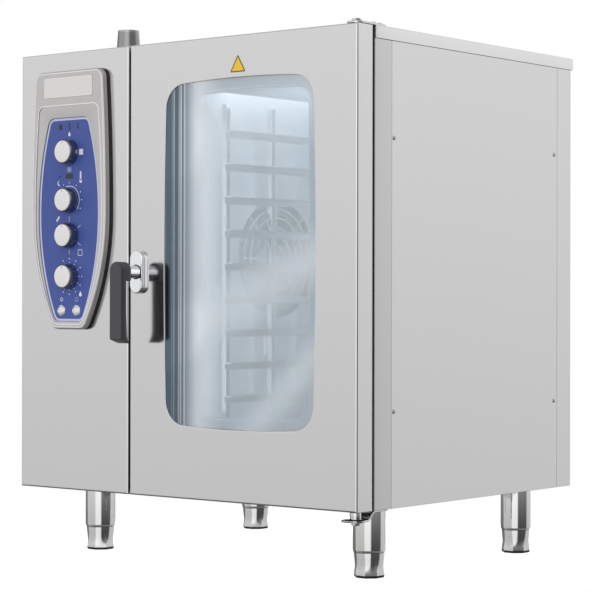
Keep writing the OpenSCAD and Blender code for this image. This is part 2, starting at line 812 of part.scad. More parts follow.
module control_board() {
    x = -half_w + side_t + 14;
    color([0.1, 0.4, 0.2]) {
        block([x, frame_y + 120, base_z + 420], [x + 2, frame_y + 340, base_z + 640]);
        block([x + 2, frame_y + 140, base_z + 440], [x + 42, frame_y + 200, base_z + 500]);
        block([x + 2, frame_y + 230, base_z + 440], [x + 22, frame_y + 320, base_z + 480]);
        block([x + 2, frame_y + 150, base_z + 540], [x + 14, frame_y + 310, base_z + 620]);
        for (y = [130, 330], z = [430, 630])
            rod_x([-half_w + side_t + gap, frame_y + y, base_z + z], 3, 14);
    }
}

module contactors() {
    x = -half_w + side_t + gap;
    color(dark) {
        block([x, frame_y + 420, base_z + 297], [x + 7, frame_y + 620, base_z + 332]);
        for (i = [0:2])
            block([x + 7, frame_y + 430 + i * 60, base_z + 270],
                [x + 82, frame_y + 475 + i * 60, base_z + 360]);
    }
}

// ---- door ----

bracket_w = 34;
lower_plate_z = base_z - 20;

// Lower hinge bracket: a plate under the door, and an arm that steps up to the cabinet's underside
module hinge_bracket_lower() {
    arm_y = frame_y + 4;
    color(chrome) difference() {
        union() {
            rod_z([hinge_x, hinge_y, lower_plate_z], bracket_w / 2, bracket_t);
            block([hinge_x - 12, hinge_y - bracket_w / 2, lower_plate_z],
                [hinge_x + 10, hinge_y + bracket_w / 2, lower_plate_z + bracket_t]);
            rod_z([hinge_x - 12, hinge_y, lower_plate_z], bracket_w / 2, bracket_t);
            block([hinge_x - 20, hinge_y, lower_plate_z], [hinge_x + 12, arm_y, lower_plate_z + bracket_t]);
            block([hinge_x - 20, arm_y - bracket_t, lower_plate_z], [hinge_x + 12, arm_y, base_z]);
            block([hinge_x - 20, arm_y - bracket_t, base_z - bracket_t],
                [hinge_x + 12, arm_y + 46, base_z]);
        }
        rod_z([hinge_x, hinge_y, lower_plate_z - 1], hinge_pin_r, bracket_t + 2);
    }
}

// Upper hinge bracket: a flat arm on the cover that reaches over the door
module hinge_bracket_upper() {
    color(chrome) difference() {
        union() {
            rod_z([hinge_x, hinge_y, top_z], bracket_w / 2, bracket_t);
            block([hinge_x - bracket_w / 2, hinge_y, top_z],
                [hinge_x + bracket_w / 2, frame_y + 46, top_z + bracket_t]);
            for (y = [16, 36]) rod_z([hinge_x, frame_y + y, top_z + bracket_t], 6, 4);
        }
        rod_z([hinge_x, hinge_y, top_z - 1], hinge_pin_r, bracket_t + 2);
    }
}

// Pins fixed in the brackets: a collar and a nut on the lower one, a head on the upper one
pin_l = 30;
module hinge_pins() {
    low = lower_plate_z + bracket_t;
    color(chrome) {
        rod_z([hinge_x, hinge_y, lower_plate_z - 6], hinge_pin_r, base_z + pin_l - lower_plate_z + 6);
        rod_z([hinge_x, hinge_y, low], hinge_pin_r + 5, base_z - free - low);
        translate([hinge_x, hinge_y, lower_plate_z - 5]) cylinder(r = hinge_pin_r + 3.5, h = 5, $fn = 6);
        rod_z([hinge_x, hinge_y, door_z1 - pin_l], hinge_pin_r, top_z + bracket_t - door_z1 + pin_l);
        translate([hinge_x, hinge_y, top_z + bracket_t]) cylinder(r = hinge_pin_r + 3.5, h = 5, $fn = 6);
    }
}

bush_wall = 3;
module hinge_bushes() {
    color(brass) for (z = [door_z0 + sheet, door_z1 - sheet - pin_l]) difference() {
        rod_z([hinge_x, hinge_y, z], hinge_pin_r + bush_wall, pin_l);
        rod_z([hinge_x, hinge_y, z - 1], hinge_pin_r + run_fit, pin_l + 2);
    }
}

module door_outer_panel() {
    color(steel) difference() {
        block([door_x0, face_y, door_z0], [door_x1, door_back_y - sheet - gap, door_z1]);
        block([door_x0 + sheet, face_y + sheet, door_z0 + sheet],
            [door_x1 - sheet, door_back_y, door_z1 - sheet]);
        upright(face_y - 1, face_y + sheet + 1) window_outline(window_w, window_h, window_r);
        rod_y([handle_x, face_y - 1, handle_mid_z], spindle_r + free, sheet + 2);
        rod_z([hinge_x, hinge_y, door_z0 - 1], hinge_pin_r + free, cab_h + 2);
    }
}

// Inner frame: back plate, tunnel round the inner window and blocks for the hinge bushes
module door_inner_frame() {
    tunnel_y = face_y + sheet + gap + glass_t + 1.5;
    lift = 12;
    color(steel) difference() {
        union() {
            block([door_x0, door_back_y - sheet, door_z0], [door_x1, door_back_y, door_z1]);
            upright(tunnel_y, door_back_y) window_outline(inner_w + 2 * sheet, inner_h + 2 * sheet,
                inner_r + sheet);
            for (z = [door_z0 + sheet + gap, door_z1 - sheet - gap - pin_l])
                block([hinge_x - lift, face_y + sheet + gap, z],
                    [door_x1 - sheet - gap, door_back_y - 1, z + pin_l]);
        }
        upright(tunnel_y - 1, door_back_y + 1) window_outline(inner_w, inner_h, inner_r);
        rod_y([handle_x, door_back_y - sheet - 1, handle_mid_z], spindle_r + free, sheet + 2);
        rod_z([hinge_x, hinge_y, door_z0 - 1], hinge_pin_r + bush_wall, cab_h + 2);
    }
}

pane_over = 18;
seal_t = 3;
module outer_glass() {
    y = face_y + sheet + gap;
    color(pane) upright(y, y + glass_t)
        window_outline(window_w + 2 * pane_over, window_h + 2 * pane_over, window_r + pane_over);
}
module inner_glass() {
    inset = seal_t + 2 * gap;
    color(pane) upright(door_back_y - 8, door_back_y - 4)
        window_outline(inner_w - 2 * inset, inner_h - 2 * inset, inner_r - inset);
}

// Flat seal behind the outer pane and the seal round the inner one
module glass_gasket() {
    y = face_y + sheet + gap + glass_t;
    color(dark) {
        difference() {
            upright(y + 0.1, y + 1.4) window_outline(window_w + 20, window_h + 20, window_r + 10);
            upright(y, y + 2) window_outline(inner_w - 2, inner_h - 2, inner_r);
        }
        difference() {
            upright(door_back_y - 10, door_back_y - 2)
                window_outline(inner_w - 2 * gap, inner_h - 2 * gap, inner_r - gap);
            upright(door_back_y - 11, door_back_y - 1)
                window_outline(inner_w - 2 * seal_t, inner_h - 2 * seal_t, inner_r - seal_t);
        }
    }
}

// ---- handle ----

// Oblong rose that carries the spindle in a running bore
module handle_escutcheon() {
    r = 18.5;
    h = 26;
    color(chrome) difference() {
        union() {
            for (s = [-1, 1]) rod_y([handle_x, face_y - escutcheon_t, handle_mid_z + s * h], r,
                escutcheon_t);
            block([handle_x - r, face_y - escutcheon_t, handle_mid_z - h],
                [handle_x + r, face_y, handle_mid_z + h]);
        }
        rod_y([handle_x, face_y - escutcheon_t - 1, handle_mid_z], spindle_r + run_fit, escutcheon_t + 2);
    }
}

module handle_lever() {
    y0 = face_y - handle_reach;
    r = lever_w / 2;
    arc_z = handle_mid_z + 3;
    color(dark) difference() {
        union() {
            rod_y([handle_x, y0, arc_z], r, lever_t);
            block([handle_x - r, y0, handle_mid_z - lever_l], [handle_x + r, y0 + lever_t, arc_z]);
            rod_y([handle_x, lever_back_y, arc_z], r, hub_t);
            block([handle_x - r, lever_back_y, handle_mid_z - r - 2],
                [handle_x + r, lever_back_y + hub_t, arc_z]);
        }
        rod_y([handle_x, y0 + 6, handle_mid_z], spindle_r, lever_t + hub_t);
    }
}

// Spindle with its collar between the lever and the rose
module handle_spindle() {
    collar_y = lever_back_y + hub_t;
    color(chrome) {
        rod_y([handle_x, face_y - handle_reach + 6, handle_mid_z], spindle_r,
            handle_reach - 6 + door_t + seal_gap - free);
        difference() {
            rod_y([handle_x, collar_y, handle_mid_z], 13, face_y - escutcheon_t - gap - collar_y);
            rod_y([handle_x, collar_y - 1, handle_mid_z], spindle_r - 1, 40);
        }
    }
}

// Cam behind the door whose nose reaches into the front frame
module latch_cam() {
    y0 = door_back_y + free;
    t = seal_gap - 2 * free;
    color(chrome) translate([handle_x, 0, handle_mid_z]) difference() {
        union() {
            rod_y([0, y0, 0], 12, t);
            rotate([0, -latch_turn, 0]) {
                block([0, y0, -5], [latch_r, y0 + t, 5]);
                rod_y([latch_r, y0, 0], 4, t + 12);
            }
        }
        rod_y([0, y0 - 1, 0], spindle_r, t + 2);
    }
}

// Keeper behind the front frame, above the closed nose and open towards the door
module latch_striker() {
    x = handle_x + latch_r * cos(latch_turn);
    z = handle_mid_z + latch_r * sin(latch_turn) + 4 + free;
    color(chrome) block([x - 9, frame_y + sheet, z], [x + 9, frame_y + sheet + 10, z + 22]);
}

base_frame();
bottom_panel();
front_frame();
back_panel();
side_panel_left();
side_panel_right();
panel_screws();
top_cover();
leg_tubes();
foot_front_left();
foot_front_right();
foot_rear_left();
foot_rear_right();
control_fascia();
control_bezel();
control_panel();
name_plate();
display_window();
indicator_lamps();
selector_switches();
mode_knob();
temperature_knob();
time_knob();
humidity_knob();
button_left();
button_right();
cavity_liner();
insulation();
door_gasket();
air_baffle();
fan_motor();
motor_shaft();
fan_wheel();
heater_rings();
rack_left();
rack_right();
drain_strainer();
drain_pipe();
cavity_lamp();
vent_pipe();
steam_injector();
water_inlets();
cable_gland();
bonding_stud();
control_board();
contactors();
hinge_bracket_lower();
hinge_bracket_upper();
hinge_pins();
hinge_bushes();
latch_striker();
door_outer_panel();
door_inner_frame();
outer_glass();
inner_glass();
glass_gasket();
handle_escutcheon();
handle_lever();
handle_spindle();
latch_cam();
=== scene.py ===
import json

import bmesh
import bpy
import numpy as np
from mathutils import Matrix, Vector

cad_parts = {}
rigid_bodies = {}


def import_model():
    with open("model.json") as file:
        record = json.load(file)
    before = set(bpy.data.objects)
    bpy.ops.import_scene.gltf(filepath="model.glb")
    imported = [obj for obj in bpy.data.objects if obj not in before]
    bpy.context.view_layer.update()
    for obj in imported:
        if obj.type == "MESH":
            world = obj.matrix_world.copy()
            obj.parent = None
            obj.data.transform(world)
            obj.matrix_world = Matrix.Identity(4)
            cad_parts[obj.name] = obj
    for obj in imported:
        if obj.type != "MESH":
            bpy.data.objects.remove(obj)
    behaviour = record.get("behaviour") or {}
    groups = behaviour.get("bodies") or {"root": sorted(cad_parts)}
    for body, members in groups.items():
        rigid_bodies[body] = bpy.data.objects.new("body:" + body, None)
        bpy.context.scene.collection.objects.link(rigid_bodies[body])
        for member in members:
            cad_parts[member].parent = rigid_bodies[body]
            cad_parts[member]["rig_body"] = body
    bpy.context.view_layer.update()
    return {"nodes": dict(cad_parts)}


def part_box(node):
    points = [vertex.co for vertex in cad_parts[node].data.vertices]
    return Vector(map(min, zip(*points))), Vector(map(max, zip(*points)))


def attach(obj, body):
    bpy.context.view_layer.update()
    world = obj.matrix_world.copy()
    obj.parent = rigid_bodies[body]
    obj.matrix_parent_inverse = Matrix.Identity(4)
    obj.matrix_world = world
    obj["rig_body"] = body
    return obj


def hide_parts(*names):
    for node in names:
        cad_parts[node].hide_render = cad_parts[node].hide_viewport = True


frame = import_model()

# Looks of a combi steamer oven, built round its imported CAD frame.
# Shapes are worked out in millimetres and go into the mesh in metres.
MM = 0.001
WALL = 1.5  # sheet thickness
BEND = 4.0  # outside radius of a folded edge
PRINT_THICK = 0.12


def span(node):
    """Lowest and highest corner of a CAD node, in millimetres."""
    low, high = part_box(node)
    return np.array(low) / MM, np.array(high) / MM


def middle(node):
    """Middle of a CAD node's box, in millimetres."""
    low, high = span(node)
    return (low + high) / 2


# ---- outlines: each returns its ring of points for any inset ----

def rounded(x0, x1, z0, z1, r, bow=0.0, run_n=8, turn_n=8):
    """Rectangle with quarter-circle corners. Along each side the offset outwards is bow times one minus t
    squared."""
    def at(inset):
        w, h = x1 - x0 - 2 * inset, z1 - z0 - 2 * inset
        c = max(r - inset, 0.3)
        t = np.linspace(-1, 1, run_n + 1)
        q = np.radians(np.linspace(0, 90, turn_n + 1)[1:-1])
        ring = []
        for k, (half, other) in enumerate([(w / 2, h / 2), (h / 2, w / 2)] * 2):
            side = np.stack([half + bow * (1 - t * t), t * (other - c)], 1)
            turn = np.stack([half - c + c * np.cos(q), other - c + c * np.sin(q)], 1)
            cos, sin = [(1, 0), (0, 1), (-1, 0), (0, -1)][k]
            ring.append(np.concatenate([side, turn]) @ np.array([[cos, sin], [-sin, cos]]))
        return np.concatenate(ring) + [(x0 + x1) / 2, (z0 + z1) / 2]
    return at


def disc(cx, cz, r, n=48):
    """Circle of radius r less the inset."""
    q = np.arange(n) * 2 * np.pi / n
    return lambda inset: np.stack([cx + (r - inset) * np.cos(q), cz + (r - inset) * np.sin(q)], 1)


def taper(cx, half, z0, z1, widest, up, low, corner, n=20, m=9):
    """Shield shape. Each side is an arc of radius up above the widest place and of radius low below it, and a
    circle of the corner radius touches the side's arc and the level edge, so its centre lies one corner
    radius inside both."""
    def at(inset):
        c = max(corner - inset, 0.5)
        ends = []
        right = []
        for big, level, sign in ((low, z0 + inset, -1), (up, z1 - inset, 1)):
            big = big - inset
            mid_x = half - inset - big
            fall = level - sign * c - widest
            reach = np.sqrt((big - c) ** 2 - fall ** 2)
            ends.append((big, mid_x, np.arctan2(fall, reach), mid_x + reach, level - sign * c))
        big, mid_x, tilt, fx, fz = ends[0]
        q = np.linspace(-np.pi / 2, tilt, m)[:-1]
        right.append(np.stack([fx + c * np.cos(q), fz + c * np.sin(q)], 1))
        q = np.linspace(tilt, 0, n)[:-1]
        right.append(np.stack([mid_x + big * np.cos(q), widest + big * np.sin(q)], 1))
        big, mid_x, tilt, fx, fz = ends[1]
        q = np.linspace(0, tilt, n)[:-1]
        right.append(np.stack([mid_x + big * np.cos(q), widest + big * np.sin(q)], 1))
        q = np.linspace(tilt, np.pi / 2, m)
        right.append(np.stack([fx + c * np.cos(q), fz + c * np.sin(q)], 1))
        right = np.concatenate(right)
        ring = np.concatenate([right, right[::-1] * [-1, 1]])
        return ring + [cx, 0]
    return at


# ---- solids: (points, faces) ----

# For each axis: the two flat coordinates across it, and its own
AXES = {"x": (1, 2, 0), "y": (0, 2, 1), "z": (0, 1, 2)}


def box_outline(low, high, r, axis="y", run_n=6, turn_n=4):
    """Rounded rectangle round a node's box, seen along an axis."""
    a, b, _ = AXES[axis]
    return rounded(low[a], high[a], low[b], high[b], r, 0, run_n, turn_n)


def lofted(rings, closed=False):
    """Quads between neighbouring rings of equal count; a cap on each end, or the last ring joined to the
    first."""
    rings = np.asarray(rings, float)
    n, m, _ = rings.shape
    i, j = np.meshgrid(np.arange(n if closed else n - 1), np.arange(m), indexing="ij")
    k = (i + 1) % n
    following = (j + 1) % m
    quads = np.stack([i * m + j, i * m + following, k * m + following, k * m + j], -1).reshape(-1, 4).tolist()
    if not closed:
        quads += [list(range(m))[::-1], list(range((n - 1) * m, n * m))]
    return rings.reshape(-1, 3), quads


def ring_at(flat, level, axis):
    """A flat ring set at a level along an axis."""
    ring = np.empty((len(flat), 3))
    ring[:, AXES[axis][:2]] = flat
    ring[:, AXES[axis][2]] = level
    return ring


def levels(outline, profile, axis="y"):
    """An outline's rings along an axis, given its inset at each level."""
    return [ring_at(outline(inset), level, axis) for inset, level in profile]


def stack(outline, profile, axis="y", closed=False):
    """An outline carried along an axis, given its inset at each level."""
    return lofted(levels(outline, profile, axis), closed)


def hollow(outline, inset, wide, back, front):
    """Frame of square section that follows an outline, wide across, between two levels."""
    return stack(outline, [(inset, back), (inset, front), (inset + wide, front), (inset + wide, back)],
        closed=True)


def edge(level, inward, r, inset=0.0, n=5):
    """Rounded edge as (inset, level) pairs: a quarter circle of radius r that ends in the flat face at level.
    The last pair repeats the flat a little further in, so the flat keeps a straight normal."""
    q = np.radians(np.linspace(0, 90, n + 1))
    turn = [(inset + r * (1 - np.cos(a)), level + inward * r * (1 - np.sin(a))) for a in q]
    return turn + [(inset + r + 0.5, level)]


def slab(outline, back, front, r=0.5, axis="y"):
    """A plate between two levels whose front edge is rounded."""
    inward = 1 if back > front else -1
    return stack(outline, [(0.0, back)] + edge(front, inward, r), axis)


def pan(outline, back, front, axis="y", wall=WALL, bend=BEND):
    """A folded sheet tray, open at the back: out round the bend, over the face, and back inside one wall
    further in."""
    inward = 1 if back > front else -1
    outer = [(0.0, back)] + edge(front, inward, bend)
    inner = [(wall, back), (wall, front + inward * bend), (bend, front + inward * wall),
        (bend + 2, front + inward * wall)]
    return stack(outline, inner[::-1] + outer, axis)


def turned(profile, centre, axis="y", n=64, closed=False):
    """A profile of (radius, level) pairs turned about an axis through centre; a radius of zero closes to a
    point."""
    q = np.arange(n) * 2 * np.pi / n
    circle = np.stack([np.cos(q), np.sin(q)], 1)
    at = np.asarray(centre)[list(AXES[axis][:2])]
    rings = [ring_at(at + max(r, 0.02) * circle, level, axis) for r, level in profile]
    return lofted(rings, closed)


def swept(path, section, up):
    """A flat section of (across, up) pairs carried along a path. At each point the frame is the path's
    tangent, across (tangent cross up), and the up that is square to both."""
    path = np.asarray(path, float)
    tangent = np.gradient(path, axis=0)
    tangent /= np.linalg.norm(tangent, axis=1, keepdims=True)
    across = np.cross(tangent, up)
    across /= np.linalg.norm(across, axis=1, keepdims=True)
    rise = np.cross(across, tangent)
    out, high = section[None, :, :1], section[None, :, 1:]
    return lofted(path[:, None] + out * across[:, None] + high * rise[:, None])


def flat_section(w, t, r):
    """Section of a strap w wide and t thick with rounded edges."""
    return rounded(-w / 2, w / 2, -t / 2, t / 2, r, run_n=1, turn_n=3)(0)


def ribbon(points, width, level, thick):
    """Flat band: the line moved half a width to each side along its normal, then given a thickness."""
    tangent = np.gradient(points, axis=0)
    tangent /= np.linalg.norm(tangent, axis=1, keepdims=True)
    side = tangent @ np.array([[0, 1], [-1, 0]]) * width / 2
    flat = np.concatenate([points + side, (points - side)[::-1]])
    return lofted([ring_at(flat, level, "y"), ring_at(flat, level - thick, "y")])


def arc(cx, cz, r, a0, a1, n=24):
    """Points on a circle between two angles in degrees, measured from the right, upwards."""
    q = np.radians(np.linspace(a0, a1, n))
    return np.stack([cx + r * np.cos(q), cz + r * np.sin(q)], 1)


# ---- materials ----

def linear(hex_colour):
    """sRGB hex to linear: the piecewise sRGB curve on each channel."""
    c = np.array([int(hex_colour[i:i + 2], 16) / 255 for i in (1, 3, 5)])
    return tuple(np.where(c <= 0.04045, c / 12.92, ((c + 0.055) / 1.055) ** 2.4)) + (1.0,)


def add_node(tree, kind, sockets=None, **settings):
    """Adds a node, sets its settings, and links or fills its sockets."""
    node = tree.nodes.new("ShaderNode" + kind)
    for name, value in settings.items():
        setattr(node, name, value)
    for name, value in (sockets or {}).items():
        if isinstance(value, bpy.types.NodeSocket):
            tree.links.new(value, node.inputs[name])
        else:
            node.inputs[name].default_value = value
    return node


def maths(tree, operation, *values):
    """Result of a Math node on its values."""
    return add_node(tree, "Math", dict(enumerate(values)), operation=operation).outputs[0]


def ramp(tree, value, start, end, low, high, kind="SMOOTHSTEP"):
    """A value carried from the range start to end into the range low to high."""
    return add_node(tree, "MapRange", {"Value": value, "From Min": start, "From Max": end, "To Min": low,
        "To Max": high}, interpolation_type=kind).outputs[0]


def blend(tree, share, first, second):
    """Colour between two others."""
    return add_node(tree, "Mix", {0: share, 6: first, 7: second}, data_type="RGBA").outputs[2]


def two_shaders(tree, share, first, second):
    """Mix of two shader nodes."""
    return add_node(tree, "MixShader", {0: share, 1: first.outputs[0], 2: second.outputs[0]})


def new_material(name):
    """Empty node material and its tree."""
    material = bpy.data.materials.new(name)
    material.use_nodes = True
    material.node_tree.nodes.clear()
    return material, material.node_tree


def finish(name, colour, metallic, rough, grain, tone=0.05, spread=0.04, bump=0.0, **shader):
    """Surface whose colour, roughness and height follow one noise. grain is the size of its marks in mm along
    X, Y and Z, so a long one gives brushing in that direction; tone and spread are how far they vary."""
    material, tree = new_material(name)
    place = add_node(tree, "TexCoord").outputs["Object"]
    sized = add_node(tree, "Mapping", {"Vector": place, "Scale": tuple(1 / (g * MM) for g in grain)})
    noise = add_node(tree, "TexNoise", {"Vector": sized.outputs[0], "Scale": 1.0, "Detail": 3.0,
        "Roughness": 0.6})
    grey = noise.outputs["Fac"]
    base = np.array(linear(colour)[:3])
    darker = tuple(base * (1 - tone)) + (1.0,)
    paler = tuple(np.minimum(base * (1 + tone), 1.0)) + (1.0,)
    worn = ramp(tree, grey, 0.3, 0.7, rough - spread, rough + spread, "LINEAR")
    surface = add_node(tree, "BsdfPrincipled", {"Base Color": blend(tree, grey, darker, paler),
        "Metallic": metallic, "Roughness": worn})
    for socket, value in shader.items():
        surface.inputs[socket.replace("_", " ")].default_value = value
    if bump:
        raised = add_node(tree, "Bump", {"Height": grey, "Strength": 0.6, "Distance": bump * MM})
        tree.links.new(raised.outputs[0], surface.inputs["Normal"])
    add_node(tree, "OutputMaterial", {"Surface": surface.outputs[0]})
    return material


def pane_shade(tree, place, across, veil, start, width, dark):
    """Colour of a pane's coat with a painted dark margin that fades inwards, the shade and reflection of the
    door's folded edge painted into the pane, crossed by fine upright streaks of painted reflection, and how
    much the margin adds to the coat's share. start and width are in mm along X."""
    reach = [(start + part * width) * MM for part in (0.45, 1.2, 0.7, 2.2)]
    # Painted shade and reflection: a dark margin along the pane's left edge, crossed by pale streaks of
    # painted reflection
    margin = ramp(tree, across, reach[0], reach[1], 1.0, 0.0)
    wide = ramp(tree, across, reach[2], reach[3], 1.0, 0.0)
    thin = add_node(tree, "Mapping", {"Vector": place, "Scale": (1 / (5 * MM), 1.0, 1 / (4000 * MM))})
    grain = add_node(tree, "TexNoise", {"Vector": thin.outputs[0], "Scale": 1.0, "Detail": 2.0})
    streak = ramp(tree, grain.outputs["Fac"], 0.54, 0.7, 0.0, 0.6, "LINEAR")
    colour = blend(tree, margin, veil, linear(dark))
    colour = blend(tree, maths(tree, "MULTIPLY", streak, wide), colour, linear("#E3E8EC"))
    return colour, maths(tree, "MULTIPLY", wide, 0.5)


def window_glass(name, tint, veil, share, rough, shade=None, sheens=()):
    """Pane: clear tinted light goes straight through, mixed with a share of a tinted mirror coat. Lamps shine
    through it. shade is (start, width, colour) of a painted dark margin, the shade and reflection of the
    door's folded edge painted into the pane. Each sheen is (slope, rise, half, gain): a painted slanting
    band of reflection that adds its gain to the share on the line z = slope x + rise, in mm, and fades out
    over half its width to each side."""
    material, tree = new_material(name)
    clear = add_node(tree, "BsdfTransparent", {"Color": linear(tint)})
    lit = add_node(tree, "BsdfTransparent", {"Color": linear("#F5F6F7")})
    place = add_node(tree, "TexCoord").outputs["Object"]
    across, _, height = add_node(tree, "SeparateXYZ", {0: place}).outputs
    broad = add_node(tree, "TexNoise", {"Vector": place, "Scale": 2.0, "Detail": 0.0})
    amount = ramp(tree, broad.outputs["Fac"], 0.0, 1.0, share * 0.9, share * 1.1, "LINEAR")
    # Painted sheens: slanting bands of painted reflection that raise the mirror coat's share
    for slope, rise, half, gain in sheens:
        line_z = maths(tree, "MULTIPLY_ADD", across, slope, rise * MM)
        off = maths(tree, "ABSOLUTE", maths(tree, "SUBTRACT", height, line_z))
        amount = maths(tree, "ADD", amount, ramp(tree, off, half * MM, 0.0, 0.0, gain))
    colour = linear(veil)
    if shade:
        colour, extra = pane_shade(tree, place, across, colour, *shade)
        amount = maths(tree, "ADD", amount, extra)
    mirror = add_node(tree, "BsdfPrincipled", {"Base Color": colour, "Metallic": 1.0, "Roughness": rough})
    pane = two_shaders(tree, maths(tree, "MINIMUM", amount, 0.94), clear, mirror)
    shadow = add_node(tree, "LightPath").outputs["Is Shadow Ray"]
    add_node(tree, "OutputMaterial", {"Surface": two_shaders(tree, shadow, pane, lit).outputs[0]})
    return material


# Stainless sheet, No. 4 satin finish, ground upright: grinding marks far finer than a millimetre, drawn 2 mm
# wide and 250 mm long so that they show as a faint upright grain
SATIN = finish("satin_stainless_ground_upright", "#CACACA", 1.0, 0.13, (2, 2, 250), tone=0.018, spread=0.012)
# Sheet of the front frame, a batch a little duller than the doors and sides
SATIN_FRAME = finish("satin_stainless_duller", "#BEBEBE", 1.0, 0.2, (2, 2, 250), tone=0.02, spread=0.015)
# The same sheet on level faces, ground from side to side
SATIN_LEVEL = finish("satin_stainless_ground_level", "#D2D2D2", 1.0, 0.2, (250, 2, 2), tone=0.018,
    spread=0.02)
# Inner sheets of the cooking chamber: bright annealed stainless, rolled, with soft cloudy patches
CHAMBER = finish("bright_annealed_stainless", "#D0D3D6", 0.45, 0.36, (60, 60, 90), tone=0.06, spread=0.05)
# Frame between the panes: the same sheet, made paler and less metallic than the rest as painted light, since
# little light reaches it between the panes
TUNNEL = finish("stainless_tunnel_painted_light", "#D3D8DC", 0.3, 0.42, (8, 8, 8), tone=0.03, spread=0.04)
# Polished stainless tube and turned parts: near-mirror with faint buffing haze
POLISHED = finish("polished_stainless", "#C6C6C5", 1.0, 0.07, (6, 6, 30), tone=0.03, spread=0.02)
# Chromium plate on knobs and the handle's rose: mirror bright, cool
CHROME = finish("chromium_plate", "#E2E3E6", 1.0, 0.05, (5, 5, 5), tone=0.02, spread=0.015)
# Plain zinc plated or pickled steel of brackets and hidden frames: grey and matt
DULL = finish("pickled_steel", "#A9A9A8", 1.0, 0.38, (12, 12, 12), tone=0.1, spread=0.08)
# Silver lacquered plastic of the control surround: fine metal flakes under a satin lacquer
LACQUER = finish("silver_lacquered_abs", "#BEBCBA", 0.75, 0.34, (1.5, 1.5, 1.5), tone=0.04, spread=0.05)
# The same lacquer on the knobs' faces, paler, with a finer flake
KNOB_FACE = finish("satin_silver_knob_face", "#E8E6E4", 0.35, 0.32, (1.2, 1.2, 1.2), tone=0.03, spread=0.05)
# Polyester keypad film, screen printed on its back in blue, with a fine matt texture
BLUE = finish("blue_printed_polyester_film", "#485BA2", 0.0, 0.42, (0.8, 0.8, 0.8), tone=0.05, spread=0.06,
    bump=0.01, Specular_IOR_Level=0.25)
# Pale lilac border printed on the same film
PALE = finish("pale_printed_polyester_film", "#C9CFEA", 0.0, 0.38, (0.8, 0.8, 0.8), tone=0.02, spread=0.06)
# White screen ink of the marks on the film: flat and matt
INK = finish("white_screen_print", "#E2E5F4", 0.0, 0.5, (1, 1, 1), tone=0.02)
# The same ink screened to a half tone
FAINT = finish("half_tone_screen_print", "#8A97C9", 0.0, 0.5, (1, 1, 1), tone=0.02)
# Grey pad-printed pointer on a knob's face
GREY_INK = finish("grey_pad_print", "#8D8C90", 0.0, 0.5, (1, 1, 1), tone=0.02)
# Chromium plate on the skirts of the knobs, made darker than plain chromium: painted shade for the skirts,
# which lie in shade and mirror the dark blue film
SMOKED = finish("chromium_plate_painted_shade", "#8E8E92", 1.0, 0.14, (5, 5, 5), tone=0.03, spread=0.03)
# Brushed and anodised aluminium of the name plate, ground from side to side
ANODISED = finish("brushed_anodised_aluminium", "#D9D7D4", 0.7, 0.3, (60, 1.2, 1.2), tone=0.05, spread=0.04)
# Painted highlight: a bright line round the surround's rim, its step and the name plate, where their edges
# catch the light
BEAD = finish("painted_highlight_line", "#EDEBF4", 0.35, 0.25, (5, 5, 5), tone=0.02, spread=0.03)
# Silicone rubber strip round the panes: pale grey, satin, a little dusty
GREY_SEAL = finish("pale_silicone_seal", "#C6CDD2", 0.0, 0.5, (3, 3, 12), tone=0.06, spread=0.08)
# Smoked acrylic (PMMA) of the display and the signal lenses: polished and almost black
DARK_LENS = finish("smoked_acrylic_lens", "#15171F", 0.0, 0.12, (4, 4, 4), tone=0.1, spread=0.03)
# Glass filled nylon of the lever: graphite grey with a fine spark-eroded texture
LEVER = finish("graphite_moulded_nylon", "#3D3D40", 0.0, 0.42, (0.9, 0.9, 0.9), tone=0.07, spread=0.06,
    bump=0.03)
# Extruded silicone rubber of the door seal and the soles: black and matt
RUBBER = finish("black_silicone_seal", "#0C0C0D", 0.0, 0.55, (3, 3, 12), tone=0.2, spread=0.08)
# Moulded polyamide of the gland, contactors and switches: black, fine-grained
BLACK = finish("black_moulded_polyamide", "#1B1B1D", 0.0, 0.45, (1.5, 1.5, 1.5), tone=0.12, spread=0.06)
# Stone wool board: dull yellow-brown, layered and loose
WOOL = finish("mineral_wool_board", "#C9BC8C", 0.0, 0.95, (3, 14, 14), tone=0.2, bump=0.8)
# Stoving enamel on the motor's housing: mid grey, slightly orange-peeled
ENAMEL = finish("grey_stoved_enamel", "#6E7276", 0.0, 0.35, (4, 4, 4), tone=0.05, bump=0.02)
# Free-cutting brass, turned: warm yellow with fine tool marks
BRASS = finish("turned_brass", "#C8A55A", 1.0, 0.25, (4, 0.6, 4), tone=0.08)
# Glass-epoxy circuit board under green solder resist: glossy
BOARD = finish("green_solder_resist", "#1F5A34", 0.0, 0.3, (5, 5, 5), tone=0.25, Coat_Weight=0.4)
# Self-adhesive vinyl of the plain sign: signal yellow, satin
YELLOW = finish("yellow_vinyl_film", "#F8CC30", 0.0, 0.4, (2, 2, 2), tone=0.02)
# Dark border printed on the same vinyl
SIGN_EDGE = finish("dark_printed_vinyl_edge", "#6B5516", 0.0, 0.4, (2, 2, 2), tone=0.04)
# Cast stainless spigot of the vent, bead blasted and dull
BLASTED = finish("bead_blasted_stainless", "#8C8C8C", 1.0, 0.26, (5, 5, 5), tone=0.06, spread=0.05)
# Borosilicate glass of the lamp cover: frosted, faintly warm
LAMP = finish("frosted_borosilicate", "#E9D6CF", 0.0, 0.3, (4, 4, 4), tone=0.05)
# Toughened outer pane: grey-blue tint with a mirror coat, painted slanting sheens, and a painted dark left
# margin that stands for the shade and reflection of the door's folded edge
GLASS_SHADE = (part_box("outer_glass")[0][0] / MM + 20, 78, "#5D6B78")
